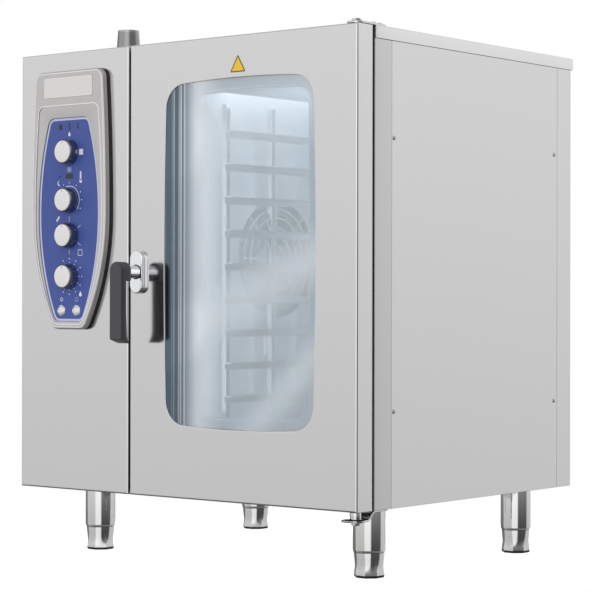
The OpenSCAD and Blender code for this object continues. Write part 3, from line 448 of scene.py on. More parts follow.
# Painted sheens across the outer pane: (slope, rise, half, gain) of each band
GLASS_SHEENS = ((0.44, 466, 85, 0.3), (0.95, 100, 70, 0.25), (0.2, 850, 120, 0.2))
OUTER_PANE = window_glass("tinted_toughened_glass", "#EBEEF0", "#DCE4EB", 0.33, 0.1, GLASS_SHADE,
    GLASS_SHEENS)
# Toughened inner pane: the same glass, clear
INNER_PANE = window_glass("clear_toughened_glass", "#E6EAEC", "#D4DEE4", 0.06, 0.04)


# ---- pieces ----

def placed(name, data):
    """New object in the scene."""
    obj = bpy.data.objects.new(name, data)
    bpy.context.scene.collection.objects.link(obj)
    return obj


def piece(name, parts, body, replaces=(), smooth=32):
    """One object from (solid, material) pairs: joined, faces turned outwards, smooth but for its sharp
    edges."""
    points, faces, marks, coats = [], [], [], []
    count = 0
    for solid, material in parts:
        if material not in coats:
            coats.append(material)
        points.append(solid[0])
        faces += [[count + v for v in face] for face in solid[1]]
        marks += [coats.index(material)] * len(solid[1])
        count += len(solid[0])
    mesh = bpy.data.meshes.new(name)
    mesh.from_pydata((np.concatenate(points) * MM).tolist(), [], faces)
    for material in coats:
        mesh.materials.append(material)
    mesh.polygons.foreach_set("material_index", np.array(marks, np.int32))
    return finished(name, mesh, body, replaces, smooth)


def finished(name, mesh, body, replaces, smooth):
    """Turns a mesh's faces outwards, smooths it, and sets the object on its body."""
    bm = bmesh.new()
    bm.from_mesh(mesh)
    bmesh.ops.recalc_face_normals(bm, faces=bm.faces)
    bm.to_mesh(mesh)
    bm.free()
    mesh.polygons.foreach_set("use_smooth", np.ones(len(mesh.polygons), bool))
    mesh.set_sharp_from_angle(angle=np.radians(smooth))
    obj = placed(name, mesh)
    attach(obj, body)
    if replaces:
        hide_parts(*replaces)
    return obj


SMALL_FACE = 60


def softened(node, radius, material, segments=2):
    """Copy of a CAD node with its loose triangles merged, flat faces joined and sharp edges rounded to a
    radius. Faces of SMALL_FACE square millimetres or more are shaded flat."""
    source = frame["nodes"][node]
    mesh = source.data.copy()
    bm = bmesh.new()
    bm.from_mesh(mesh)
    bmesh.ops.remove_doubles(bm, verts=bm.verts, dist=0.00002)
    bmesh.ops.dissolve_limit(bm, angle_limit=np.radians(1), verts=bm.verts, edges=bm.edges)
    sharp = [e for e in bm.edges if e.is_manifold and e.calc_face_angle(0) > np.radians(35)]
    bmesh.ops.bevel(bm, geom=sharp, offset=radius * MM, segments=segments, affect="EDGES", profile=0.5,
        clamp_overlap=True)
    bm.to_mesh(mesh)
    bm.free()
    mesh.materials.clear()
    mesh.materials.append(material)
    obj = finished(node + "_softened", mesh, source["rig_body"], [node], 32)
    area = np.empty(len(mesh.polygons))
    mesh.polygons.foreach_get("area", area)
    mesh.polygons.foreach_set("use_smooth", area < SMALL_FACE * MM * MM)
    return obj


def coat(material, *nodes):
    """Gives CAD nodes that stay a procedural material."""
    for node in nodes:
        for holder in frame["nodes"][node].material_slots:
            holder.material = material


# Door: one folded sheet from its outer bends to the rolled edge of the window
door_lo, door_hi = span("door_outer_panel")
door_y, door_back = door_lo[1], door_hi[1]
pane_lo, pane_hi = span("outer_glass")
PANE_OVER = 18  # how far the pane reaches behind the sheet
BOW = 4.5  # how far the window's sides bulge
OPEN = PANE_OVER + BOW
window = rounded(pane_lo[0] + OPEN, pane_hi[0] - OPEN, pane_lo[2] + OPEN, pane_hi[2] - OPEN, 48, BOW, 12, 10)
door_edge = box_outline(door_lo, door_hi, 1.2, run_n=12, turn_n=10)


def door_sheet():
    """Rings from the back edge round the bend to the face, across it to the window, through it, and back
    inside."""
    inner_y = door_y + WALL
    rings = levels(door_edge, [(0.0, door_back)] + edge(door_y, 1, BEND))
    rings += levels(window, [(-2.2, door_y), (-1.6, door_y), (-0.5, door_y + 0.3), (0, door_y + 1),
        (0, inner_y), (-3, inner_y)])
    rings += levels(door_edge, [(BEND + 1, inner_y), (WALL, door_y + BEND), (WALL, door_back)])
    return lofted(rings, closed=True)


piece("door_sheet", [(door_sheet(), SATIN)], "door", ["door_outer_panel"])


def triangle(cx, z0, side, r):
    """Equilateral triangle with round corners: each corner is an arc about a point on its bisector."""
    def at(inset):
        c = max(r - inset, 0.3)
        reach = side / np.sqrt(3) - 2 * r - 2 * max(inset - r + 0.3, 0)
        ring = []
        for k in range(3):
            q = np.radians(90 + 120 * k + np.linspace(-60, 60, 7))
            mid = np.radians(90 + 120 * k)
            x, z = reach * np.cos(mid) + c * np.cos(q), reach * np.sin(mid) + c * np.sin(q)
            ring.append(np.stack([x, z], 1))
        return np.concatenate(ring) + [cx, z0 + side / (2 * np.sqrt(3))]
    return at


# Plain yellow triangle above the window
SIGN_SIDE = 40
SIGN_UP = 10  # above the window's edge
sign = triangle(middle("outer_glass")[0], pane_hi[2] - PANE_OVER + SIGN_UP, SIGN_SIDE, 2.0)
piece("warning_sign_plain", [(stack(sign, [(0, door_y - 0.02), (0, door_y - 0.2)]), YELLOW),
    (hollow(sign, 0, 2.4, door_y - 0.15, door_y - 0.26), SIGN_EDGE)], "door")

# Panes: the outer one lies behind the door sheet, the inner one closes the door's inner frame
coat(OUTER_PANE, "outer_glass")
coat(INNER_PANE, "inner_glass")
softened("glass_gasket", 0.4, GREY_SEAL, 1)
# The inner frame takes the paler stainless, painted light
coat(TUNNEL, "door_inner_frame")

# Door seal: a half-round profile along the cavity mouth
seal_lo, seal_hi = span("door_gasket")
SEAL_W = 16


def door_seal():
    """Inset and level trace half an oval: the seal's width across, its height towards the door."""
    q = np.radians(np.linspace(0, 180, 10))
    half = SEAL_W / 2
    back = seal_hi[1]
    height = seal_hi[1] - seal_lo[1]
    outline = box_outline(seal_lo, seal_hi, 20, turn_n=8)
    profile = [(half - half * np.cos(a), back - 0.5 - (height - 0.5) * np.sin(a)) for a in q]
    return stack(outline, profile + [(SEAL_W - 1, back), (1, back)], closed=True)


piece("door_seal", [(door_seal(), RUBBER)], "cabinet", ["door_gasket"])

# ---- cabinet sheets ----

frame_lo, frame_hi = span("front_frame")
lin_lo, lin_hi = span("cavity_liner")
MOUTH_LEFT = -65.0  # left edge of the opening into the chamber
FOLD_DEEP = 53.6  # depth of the front frame's folded sides
mouth_lo = np.array([MOUTH_LEFT, 0, lin_lo[2] + WALL])
frame_edge = box_outline(frame_lo, frame_hi, 1.2, run_n=12, turn_n=10)
mouth = box_outline(mouth_lo, lin_hi - WALL, 12, run_n=12, turn_n=10)


def frame_sheet():
    """Rings from the back edge of the folded side round the bend to the face, through the mouth and back
    inside."""
    face = frame_lo[1]
    back, inner_y = face + FOLD_DEEP, face + WALL
    rings = levels(frame_edge, [(0.0, back)] + edge(face, 1, 1.4))
    rings += levels(mouth, [(-1.4, face), (-0.8, face), (0, face + 0.6), (0, inner_y), (-4, inner_y)])
    rings += levels(frame_edge, [(5, inner_y), (WALL, face + 4), (WALL, back)])
    return lofted(rings, closed=True)


strike_lo, strike_hi = span("latch_striker")
# Half the width and height of the plate round the latch's slot
SLOT_HALF = np.array([12, 0, 34])
slot_at = np.array([(strike_lo[0] + strike_hi[0]) / 2 + 7, 0, strike_lo[2] - 22])
slot_edge = box_outline(slot_at - SLOT_HALF, slot_at + SLOT_HALF, 6, run_n=4, turn_n=6)
slot_plate = slab(slot_edge, frame_lo[1], frame_lo[1] - 0.8, 0.4)
# The slot's opening is a black sheet: painted shade of the hole
slot_hole = stack(slot_edge, [(3, frame_lo[1] - 0.7), (3, frame_lo[1] - 0.85)])
piece("frame_sheet", [(frame_sheet(), SATIN_FRAME), (slot_plate, SATIN_LEVEL), (slot_hole, RUBBER)],
    "cabinet", ["front_frame"])
# Black strip on the frame beside the door's edge: painted shade in the gap between door and side
tape = rounded(frame_hi[0] - 14, frame_hi[0] - 0.5, frame_lo[2] + 2, door_hi[2] - 1, 1, 0, 2, 3)
piece("gap_shadow_strip", [(slab(tape, frame_lo[1], frame_lo[1] - 1.8, 0.4), RUBBER)], "cabinet")
softened("bottom_panel", 0.5, SATIN_LEVEL)
softened("back_panel", 2.0, SATIN, 3)
for name, inside, outside in (("side_panel_left", 1, 0), ("side_panel_right", 0, 1)):
    ends = span(name)
    side = slab(box_outline(*ends, 0.8, "x"), ends[inside][0], ends[outside][0], 0.7, "x")
    piece(name + "_sheet", [(side, SATIN)], "cabinet", [name])
coat(DULL, "base_frame")

cover_lo, cover_hi = span("top_cover")
cover = pan(box_outline(cover_lo, cover_hi, 1.5, "z"), cover_lo[2], cover_hi[2], "z", bend=2.5)
piece("cover_pan", [(cover, SATIN_LEVEL)], "cabinet", ["top_cover"])

# ---- control column ----

fascia_lo, fascia_hi = span("control_fascia")
fascia = pan(box_outline(fascia_lo, fascia_hi, 1.2), fascia_hi[1], fascia_lo[1])
piece("column_fascia", [(fascia, SATIN)], "cabinet", ["control_fascia"])

bezel_lo, bezel_hi = span("control_bezel")
panel_lo, panel_hi = span("control_panel")
bezel_x = (bezel_lo[0] + bezel_hi[0]) / 2
face_y = bezel_hi[1]
rim_y = bezel_lo[1]
bezel_half = (bezel_hi[0] - bezel_lo[0]) / 2
panel_half = (panel_hi[0] - panel_lo[0]) / 2
widest = bezel_lo[2] + 239  # height of the shield's widest place
STEP_DEEP = 1.4
STEP_SIDE, STEP_BOTTOM, STEP_TOP = 12, 11, 73  # how far the step lies inside the rim
bezel_edge = taper(bezel_x, bezel_half, bezel_lo[2], bezel_hi[2], widest, 4200, 483, 20)
step_edge = taper(bezel_x, bezel_half - STEP_SIDE, bezel_lo[2] + STEP_BOTTOM, bezel_hi[2] - STEP_TOP, widest,
    2400, 478, 15)
panel_edge = taper(bezel_x, panel_half, panel_lo[2], panel_hi[2], widest, 650, 530, 18)


def bezel_shell():
    """Rings in from the fascia: round the rim, flat, down a step, flat, down past the film and out again
    behind it."""
    step_y = rim_y + STEP_DEEP
    rings = levels(bezel_edge, [(0, face_y), (0, rim_y + 6), (0.6, rim_y + 3.2), (2.0, rim_y + 1.2),
        (3.8, rim_y + 0.3), (5.5, rim_y), (6.2, rim_y)])
    rings += levels(step_edge, [(-0.9, rim_y), (-0.4, rim_y), (0.2, rim_y + 0.25), (0.7, step_y),
        (1.2, step_y)])
    rings += levels(panel_edge, [(-1.2, step_y), (-0.6, step_y + 0.2), (-0.3, step_y + 0.8),
        (-0.3, panel_hi[1] + 0.1), (-4, face_y - 0.1)])
    return lofted(rings, closed=True)


def bead(outline, inset, wide, level):
    """Thin raised ring that follows an outline at an inset."""
    return hollow(outline, inset, wide, level + 0.1, level - PRINT_THICK)


# Black ring round the foot of the surround: painted shade along its side wall
bezel_seal = hollow(bezel_edge, -0.4, 1.0, face_y - 0.02, face_y - 5.5)
# The two bright rings are painted highlights on the surround's rim and on its step
piece("control_surround", [(bezel_shell(), LACQUER), (bead(bezel_edge, 3.6, 1.8, rim_y + 0.1), BEAD),
    (bead(step_edge, -1.6, 2.1, rim_y), BEAD), (bezel_seal, RUBBER)], "cabinet",
    ["control_bezel"])
film_y = panel_lo[1]
BORDER = 5.0  # width of the film's pale border
piece("control_film", [(slab(panel_edge, panel_hi[1], film_y, 0.3), BLUE),
    (bead(panel_edge, 0.6, BORDER - 0.6, film_y), PALE)], "cabinet", ["control_panel"])

plate_lo, plate_hi = span("name_plate")
plate = box_outline(plate_lo, plate_hi, 3, run_n=4, turn_n=5)
# The bright ring round the plate is a painted highlight on its edge
piece("blank_plate", [(slab(plate, plate_hi[1], plate_lo[1], 0.5), ANODISED),
    (bead(plate, 1.0, 0.8, plate_lo[1] + 0.1), BEAD)], "cabinet", ["name_plate"])

KNOBS = ["mode_knob", "temperature_knob", "time_knob", "humidity_knob"]
knob_at = {}


def knob(name):
    """Skirt, face, stem and pointer, turned about the knob's own axis; the face's dome is part of a sine."""
    low, high = span(name)
    front, back = low[1] + 0.4, film_y - 1
    at = (low + high) / 2
    cx, cz = at[0], at[2]
    r = (high[0] - low[0]) / 2
    face_r = r - 4.2
    skirt = [(r - 3, back), (r - 0.4, back), (r, back - 0.6), (r, back - 5), (r - 0.5, back - 9),
        (r - 1.4, front + 5), (r - 2.2, front + 2.6), (r - 3.4, front + 1.6), (r - 4.0, front + 1.7),
        (r - 4.3, front + 2.2)]
    face = [(face_r, front + 2.4), (face_r, front + 1.4)]
    face += [(face_r * np.cos(a), front + 1.2 - 1.1 * np.sin(a)) for a in np.radians(np.linspace(8, 86, 9))]
    mark = rounded(cx - 0.8, cx + 0.8, cz + face_r - 6, cz + face_r - 2, 0.7, 0, 2, 4)
    stem = turned([(4, back), (4, high[1])], at, n=24)
    # The skirt takes the darker chromium plate, painted shade
    piece(name + "_turned", [(turned(skirt, at), SMOKED), (turned(face, at), KNOB_FACE), (stem, DULL),
        (slab(mark, front + 1.4, front + 0.4, 0.2), GREY_INK)], name, [name])
    knob_at[name] = np.array([cx, cz])


def button(name):
    """Coned cap on a rod, and a plated collar round it on the film."""
    low, high = span(name)
    r = (high[0] - low[0]) / 2
    at = (low + high) / 2
    cap = [(r, 5), (r, 2.6), (r - 0.6, 1.9), (r - 3.2, 0.5), (r - 4.2, 0.12), (r - 5.5, 0), (0, 0)]
    rod = turned([(4, low[1] + 5), (4, high[1])], at, n=24)
    piece(name + "_cap", [(turned([(wide, low[1] + deep) for wide, deep in cap], at), KNOB_FACE),
        (rod, DULL)], name, [name])
    collar = [(0.5, 0.02), (0.5, 1.4), (1.0, 1.9), (2.0, 1.5), (2.6, 0.6), (2.7, 0.02)]
    ring = turned([(r + out, film_y - proud) for out, proud in collar], at, closed=True)
    piece(name + "_collar", [(ring, CHROME)], "cabinet")


for name in KNOBS:
    knob(name)
for name in ("button_left", "button_right"):
    button(name)

# ---- prints on the film ----

def printed(outline):
    """Filled mark inside an outline."""
    return stack(outline, [(0, film_y), (0, film_y - PRINT_THICK)])


def outlined(outline, width):
    """Mark that follows an outline."""
    return hollow(outline, 0, width, film_y, film_y - PRINT_THICK)


def oblong(x, z, w, h, r):
    """Rectangle with round corners, given by its middle."""
    return rounded(x - w / 2, x + w / 2, z - h / 2, z + h / 2, r, 0, 2, 3)


def dot(x, z, r):
    """Round printed dot."""
    return printed(disc(x, z, r, 16))


def band(points, width):
    """Printed line of a width along some points."""
    return ribbon(points, width, film_y, PRINT_THICK)


def ray(at, angle, r0, r1, width):
    """Short line that points away from a knob's middle."""
    way = np.array([np.cos(np.radians(angle)), np.sin(np.radians(angle))])
    return band(np.array([at + r0 * way, at + r1 * way]), width)


def drop(x, z, r):
    """Water drop: a circle whose upper half is drawn out to a point."""
    q = np.radians(np.arange(0, 360, 12))
    up = np.maximum(np.sin(q), 0)
    flat = np.stack([x + r * np.cos(q) * (1 - 0.75 * up ** 2), z + r * np.sin(q) * (1 + 0.9 * up)], 1)
    return printed(lambda inset: flat)


def around(at, r, angles, size):
    """Dots on a circle round a knob."""
    return [dot(at[0] + r * np.cos(a), at[1] + r * np.sin(a), size) for a in np.radians(angles)]


mode, heat, time_at, damp = (knob_at[k] for k in KNOBS)
button_l, button_r = middle("button_left"), middle("button_right")
window_lo, window_hi = span("display_window")
display_z = (window_lo[2] + window_hi[2]) / 2
STEM_X = bezel_x + 33
DOT_STEP = 29.5  # angle between the dots round the lowest knob
# Top knob: a drop above it, a frame on its left and a filled square on its right
prints = [drop(mode[0], mode[1] + 36, 3.4), outlined(oblong(mode[0] - 34, mode[1] - 1, 11, 11, 1.2), 0.8),
    printed(oblong(mode[0] + 34, mode[1] - 1, 12, 12, 1.0))]
faint = [printed(oblong(mode[0], mode[1] - 36.5, 12, 10, 1.0))]
# Second knob: a long arc with dots outside it, and a small crescent
prints += [band(arc(*heat, 29.5, 110, -40, 36), 1.5)] + around(heat, 36.5, (117, 90, 57, 27, 0, -29), 1.3)
prints += [band(arc(heat[0] - 29, heat[1] + 36, 4.5, 100, 280, 12), 2.2)]
# Third knob: a slanting bar, pairs of rays and a frame
prints += [band(np.array([(time_at[0] - 37, time_at[1] + 30), (time_at[0] - 29, time_at[1] + 40)]), 4.0)]
prints += [ray(time_at, a, r, r + 4, 1.3) for a in (90, 32, -32, -90) for r in (29.5, 35)]
prints += [outlined(oblong(time_at[0] + 32, time_at[1] - 36, 13, 13, 2.0), 1.2)]
# Lowest knob: two rings of dots and a drop
dot_angles = np.arange(118, -119, -DOT_STEP)
prints += around(damp, 29, dot_angles, 1.1) + around(damp, 37, dot_angles, 1.4)
prints += [drop(damp[0] + 33, damp[1] - 38, 4.0)]
# A hoop above each button, and a thermometer beside the display
prints += [outlined(disc(button_l[0], button_l[2] + 23, 4.0, 24), 1.2)]
faint += [outlined(disc(button_r[0], button_r[2] + 23, 5.0, 24), 1.6)]
prints += [printed(oblong(STEM_X, display_z, 4.2, 20, 2.0)), dot(STEM_X, display_z - 11, 4.0)]
piece("film_print", [(p, INK) for p in prints] + [(p, FAINT) for p in faint], "cabinet")
display = box_outline(window_lo, window_hi, 1.2, run_n=2)
piece("display_lens", [(slab(display, window_hi[1], window_lo[1], 0.2), DARK_LENS),
    (dot(bezel_x - 28, display_z, 2.5), DARK_LENS)], "cabinet", ["display_window"])
lamp_z = middle("indicator_lamps")[2]
LENSES = ((-26, 9, 12), (0, 3, 15), (25, 3, 12))  # place from the middle, width, height
lenses = [(slab(oblong(bezel_x + x, lamp_z, w, h, 0.8), film_y, film_y - 0.4, 0.2), DARK_LENS)
    for x, w, h in LENSES]
piece("signal_lenses", lenses, "cabinet", ["indicator_lamps"])

# ---- handle ----

lever_lo, lever_hi = span("handle_lever")
axis = middle("handle_escutcheon")
lever_r = (lever_hi[0] - lever_lo[0]) / 2
lever_front = lever_lo[1]
LEVER_THICK = 16  # from front to back, above the lip
lever_back = lever_front + LEVER_THICK
hub_back = lever_hi[1]


def round_topped(z0, r, n=30):
    """Outline of the lever's width: a half circle at the top, straight sides, and lower corners of radius r.
    Points crowd towards the lower end, where the lever curves."""
    def at(inset):
        half = lever_r - inset
        c = max(r - inset, 0.3)
        top = lever_hi[2] - lever_r
        low = z0 + inset + c
        turn = np.radians(np.linspace(-90, 0, 6))
        right = np.concatenate([np.stack([half - c + c * np.cos(turn), low + c * np.sin(turn)], 1),
            np.stack([np.full(n, half), low + (top - low) * np.linspace(0.02, 1, n) ** 1.6], 1)])
        dome = np.radians(np.linspace(0, 180, 26)[1:-1])
        ring = np.concatenate([right, np.stack([half * np.cos(dome), top + half * np.sin(dome)], 1),
            right[::-1] * [-1, 1]])
        return ring + [axis[0], 0]
    return at


def lever_shape():
    """Half-round top and bevelled front edges. The lower end is cut on a slope that rises by a fixed lift
    from back to front, and above it the back swells by a cubed ramp into a lip for the fingers."""
    lift, cut_high = 9.0, 12
    swell, ramp_high = 12.0, 34
    profile = [(5, lever_back), (1.6, lever_back), (0.5, lever_back - 0.5), (0, lever_back - 1.8),
        (0, lever_front + 4), (0.3, lever_front + 2.8), (2.2, lever_front + 0.5), (3.2, lever_front),
        (4.2, lever_front)]
    points, faces = stack(round_topped(lever_lo[2], 3), profile)
    depth = np.clip((points[:, 1] - lever_front) / LEVER_THICK, 0, 1)
    down = np.clip((lever_lo[2] + ramp_high - points[:, 2]) / ramp_high, 0, 1)
    points[:, 1] += swell * down ** 3 * depth
    low = np.clip((lever_lo[2] + cut_high - points[:, 2]) / cut_high, 0, 1)
    points[:, 2] += lift * low * (1 - depth)
    return points, faces


hub_profile = [(3, lever_back - 1), (0.2, lever_back - 0.5), (0.2, hub_back - 2), (0.8, hub_back - 0.6),
    (2.2, hub_back), (4, hub_back)]
hub = stack(round_topped(axis[2] - lever_r - 2, 3), hub_profile)
piece("lever_grip", [(lever_shape(), LEVER), (hub, LEVER)], "handle", ["handle_lever"])

rose_lo, rose_hi = span("handle_escutcheon")
rose = box_outline(rose_lo, rose_hi, (rose_hi[0] - rose_lo[0]) / 2, turn_n=12)
# The rose stands on a plate; a groove (inset, depth) parts the two
groove = [(0, 0), (0, 3.4), (0.4, 4), (1.8, 4.3), (1.8, 5.4), (0.9, 5.9)]
rose_profile = [(inset, rose_hi[1] - deep) for inset, deep in groove] + edge(rose_lo[1], 1, 2.8, 0.7)
washer = turned([(15, rose_lo[1] + 0.1), (15, rose_lo[1] - 0.28), (12.5, rose_lo[1] - 0.28)], axis)
piece("handle_rose", [(stack(rose, rose_profile), CHROME), (washer, RUBBER)], "door",
    ["handle_escutcheon"])

# Shaft: a ribbed collar between hub and rose, then the plain spindle
spindle_back = span("handle_spindle")[1][1]
rib = np.linspace(hub_back, rose_lo[1] - 0.3, 29)
ribs = [(12, rib[0])] + [(13 - 1.1 * (k % 4 == 2), y) for k, y in enumerate(rib)] + [(12, rib[-1])]
spindle = [(7, hub_back), (7, spindle_back - 1), (6, spindle_back)]
piece("handle_shaft", [(turned(ribs, axis), CHROME), (turned(spindle, axis, n=32), POLISHED)], "handle",
    ["handle_spindle"])
softened("latch_cam", 0.8, POLISHED)
softened("latch_striker", 0.8, DULL)

# ---- legs and feet ----

FEET = ["foot_front_left", "foot_front_right", "foot_rear_left", "foot_rear_right"]
LEG_R = 32
tube_z = span("leg_tubes")[0][2]
base_z = frame_lo[2]


def around_foot(at, profile):
    """Rings of (radius, height, share): the share bends each circle towards an octagon of that radius."""
    q = np.arange(96) * 2 * np.pi / 96
    octagon = np.cos(np.pi / 8) / np.cos((q + np.pi / 8) % (np.pi / 4) - np.pi / 8)
    rings = []
    for r, z, share in profile:
        reach = r * (1 + share * (octagon - 1))
        rings.append(np.stack([at[0] + reach * np.cos(q), at[1] + reach * np.sin(q), np.full(96, z)], 1))
    return lofted(rings)


# (radius, height, share of the octagon)
SHELL = [(29.4, 4.2, 1), (30.4, 5.0, 1), (30.4, 8, 1), (29.9, 13, 1), (28.6, 20, 0.6), (28.2, 27, 0.15),
    (28.8, 36, 0), (29.5, 43, 0), (29.8, 48.2, 0), (28.6, 49.0, 0), (29.4, 49.3, 0), (29.4, 100, 0)]
PAD = [(27.5, 0, 1), (28.5, 0.4, 1), (30.9, 2.4, 1), (30.9, 4.0, 1), (29.4, 4.4, 1)]
# (how far inside the tube's radius, level): a rolled lower lip, then the welded upper end and its stub
tube = [(2, tube_z + 20), (2, tube_z + 1.2), (1.6, tube_z + 0.2), (1.2, tube_z + 0.4), (0.3, tube_z + 3.5),
    (0, tube_z + 5.5), (0, base_z - 3), (0.6, base_z - 0.6), (1.5, base_z), (LEG_R - 8, base_z),
    (LEG_R - 8, base_z + 36)]
tubes = []
for name in FEET:
    at = middle(name)
    tubes.append((turned([(LEG_R - inside, z) for inside, z in tube], at, "z"), POLISHED))
    piece(name + "_turned", [(around_foot(at, SHELL), POLISHED), (around_foot(at, PAD), RUBBER)], name,
        [name])
piece("leg_tubes_drawn", tubes, "cabinet", ["leg_tubes"])

# ---- hinges ----

low_lo, low_hi = span("hinge_bracket_lower")
up_lo, up_hi = span("hinge_bracket_upper")
PLATE = 4  # thickness of the hinge plates
PIN_IN = 17  # from a plate's front edge to its pin
hinge_x, hinge_y = (up_lo[0] + up_hi[0]) / 2, up_lo[1] + PIN_IN


def strap(y0, y1, y2, z0, z1):
    """Strap that rises from one level to another along a smooth S, three t squared minus two t cubed."""
    y = np.concatenate([[y0], np.linspace(y1 - 13, y1 + 9, 16), [y2]])
    t = np.clip((y - y1 + 13) / 22, 0, 1)
    path = np.stack([np.full(len(y), hinge_x - 4), y, z0 + (z1 - z0) * (3 * t ** 2 - 2 * t ** 3)], 1)
    return swept(path, flat_section(PLATE - 0.2, 32, 1.0), (1.0, 0, 0))


lower_plate = rounded(low_lo[0], low_hi[0], hinge_y - PIN_IN, hinge_y + PIN_IN, 16, 0, 4, 10)
# Two slabs back to back round both edges of the lower plate
lower = [slab(lower_plate, low_lo[2] + PLATE, low_lo[2], 1.4, "z"),
    slab(lower_plate, low_lo[2] + 1, low_lo[2] + PLATE, 1.2, "z"),
    strap(hinge_y, frame_lo[1] + 1, low_hi[1], low_lo[2] + PLATE / 2, base_z - PLATE / 2)]
piece("lower_bracket_bent", [(part, POLISHED) for part in lower], "cabinet",
    ["hinge_bracket_lower"])
upper_plate = box_outline(up_lo, up_hi, 15, "z", 4, 10)
# (radius, height) of a bolt's head with a socket
BOLT = [(6, 3.8), (6, 6.6), (5.2, 7.6), (3.4, 8), (3.2, 6.4), (0, 6.4)]
bolt = [(r, up_lo[2] + z) for r, z in BOLT]
upper = [slab(upper_plate, up_lo[2], up_lo[2] + PLATE, 1.6, "z")]
upper += [turned(bolt, (hinge_x, frame_lo[1] + y, 0), "z", 32) for y in (16, 36)]
piece("upper_bracket_flat", [(part, POLISHED) for part in upper], "cabinet",
    ["hinge_bracket_upper"])
softened("hinge_pins", 0.8, POLISHED)
coat(BRASS, "hinge_bushes")

# ---- vent ----

VENT_IN = 123  # from the cabinet's left side to the vent's axis
VENT_BORE = 17
VENT_DOWN = 300  # how far the spigot's wall goes down into the cabinet
top_z = cover_hi[2]
rim_z = span("vent_pipe")[1][2]
# (wall thickness, level): up the bore, over the rolled rim, down the cone to the cover, and on inside
spigot = [(0, top_z - VENT_DOWN), (0, rim_z - 4), (0.8, rim_z - 1.2), (2.4, rim_z), (4.4, rim_z - 0.6),
    (5.6, rim_z - 2.4), (6, rim_z - 5)]
spigot += [(6.3 + 4.2 * t, rim_z - 8 - (rim_z - 8 - top_z) * t) for t in np.linspace(0, 1, 8)]
spigot += [(2, top_z - 0.5), (2, top_z - VENT_DOWN)]
vent_at = (frame_lo[0] + VENT_IN, middle("vent_pipe")[1], 0)
spigot = turned([(VENT_BORE + wall, z) for wall, z in spigot], vent_at, "z", closed=True)
piece("vent_spigot", [(spigot, BLASTED)], "cabinet")

# ---- side screws with a cross recess ----

SCREW_R = 4.5


def screw(x, y, z, side):
    """Pan head on a polar grid: a dome whose height drops by the recess depth inside a cross of two slots."""
    dome_r, rise, lift = 4.9, 1.9, 0.3
    slot_half, slot_r, recess = 0.65, 2.7, 1.3
    r = np.linspace(0.02, 1, 14)[:, None] * SCREW_R
    q = (np.arange(48) * 2 * np.pi / 48)[None]
    u, v = r * np.cos(q), r * np.sin(q)
    height = rise * np.sqrt(np.clip(1 - (r / dome_r) ** 2, 0, 1)) + lift
    height = height - recess * ((np.minimum(np.abs(u), np.abs(v)) < slot_half) & (r < slot_r))
    top = np.stack([x + side * height, y + u, z + v], -1)
    foot = np.stack([np.full(48, x), y + u[-1], z + v[-1]], -1)
    return lofted(np.concatenate([top, foot[None]]))


screws_lo, screws_hi = span("panel_screws")
screws_lo, screws_hi = screws_lo + SCREW_R, screws_hi - SCREW_R
heads = [(screw(x, y, z, side), POLISHED) for side, x in ((-1, frame_lo[0]), (1, frame_hi[0]))
    for y in (screws_lo[1], screws_hi[1]) for z in (screws_lo[2], screws_hi[2])]
piece("panel_screw_heads", heads, "cabinet", ["panel_screws"])

# ---- chamber and services ----

coat(CHAMBER, "cavity_liner", "air_baffle")
softened("rack_left", 0.9, POLISHED)
softened("rack_right", 0.9, POLISHED)
coat(POLISHED, "drain_strainer", "steam_injector", "motor_shaft")
coat(CHAMBER, "fan_wheel")
coat(DULL, "heater_rings", "drain_pipe", "vent_pipe")
softened("cavity_lamp", 2.0, LAMP)
coat(WOOL, "insulation")
coat(ENAMEL, "fan_motor")
coat(BRASS, "water_inlets", "bonding_stud")
coat(BLACK, "cable_gland", "contactors", "selector_switches")
coat(BOARD, "control_board")

# ---- floor, light and camera ----

def studio_floor(radius=0.75):
    """Pale floor disc: a fan of rings. It glows a little, so it stays as pale as the surroundings, and
    polished metal mirrors the surroundings in its place."""
    q = np.arange(96) * 2 * np.pi / 96
    rings = [np.stack([r * np.cos(q), r * np.sin(q), np.full(96, -0.0005)], 1) for r in (0.01, radius)]
    points, faces = lofted(rings)
    mesh = bpy.data.meshes.new("studio_floor")
    mesh.from_pydata(points.tolist(), [], faces[:-1])
    material, tree = new_material("pale_studio_floor")
    noise = add_node(tree, "TexNoise", {"Scale": 30.0})
    tint = blend(tree, noise.outputs["Fac"], linear("#F4F4F4"), linear("#F7F7F7"))
    pale = add_node(tree, "BsdfPrincipled", {"Base Color": tint, "Roughness": 0.9, "Specular IOR Level": 0.0,
        "Emission Color": (1, 1, 1, 1), "Emission Strength": 0.8})
    glossy = add_node(tree, "LightPath").outputs["Is Glossy Ray"]
    both = two_shaders(tree, glossy, pale, add_node(tree, "BsdfTransparent"))
    add_node(tree, "OutputMaterial", {"Surface": both.outputs[0]})
    mesh.materials.append(material)
    placed("studio_floor", mesh)


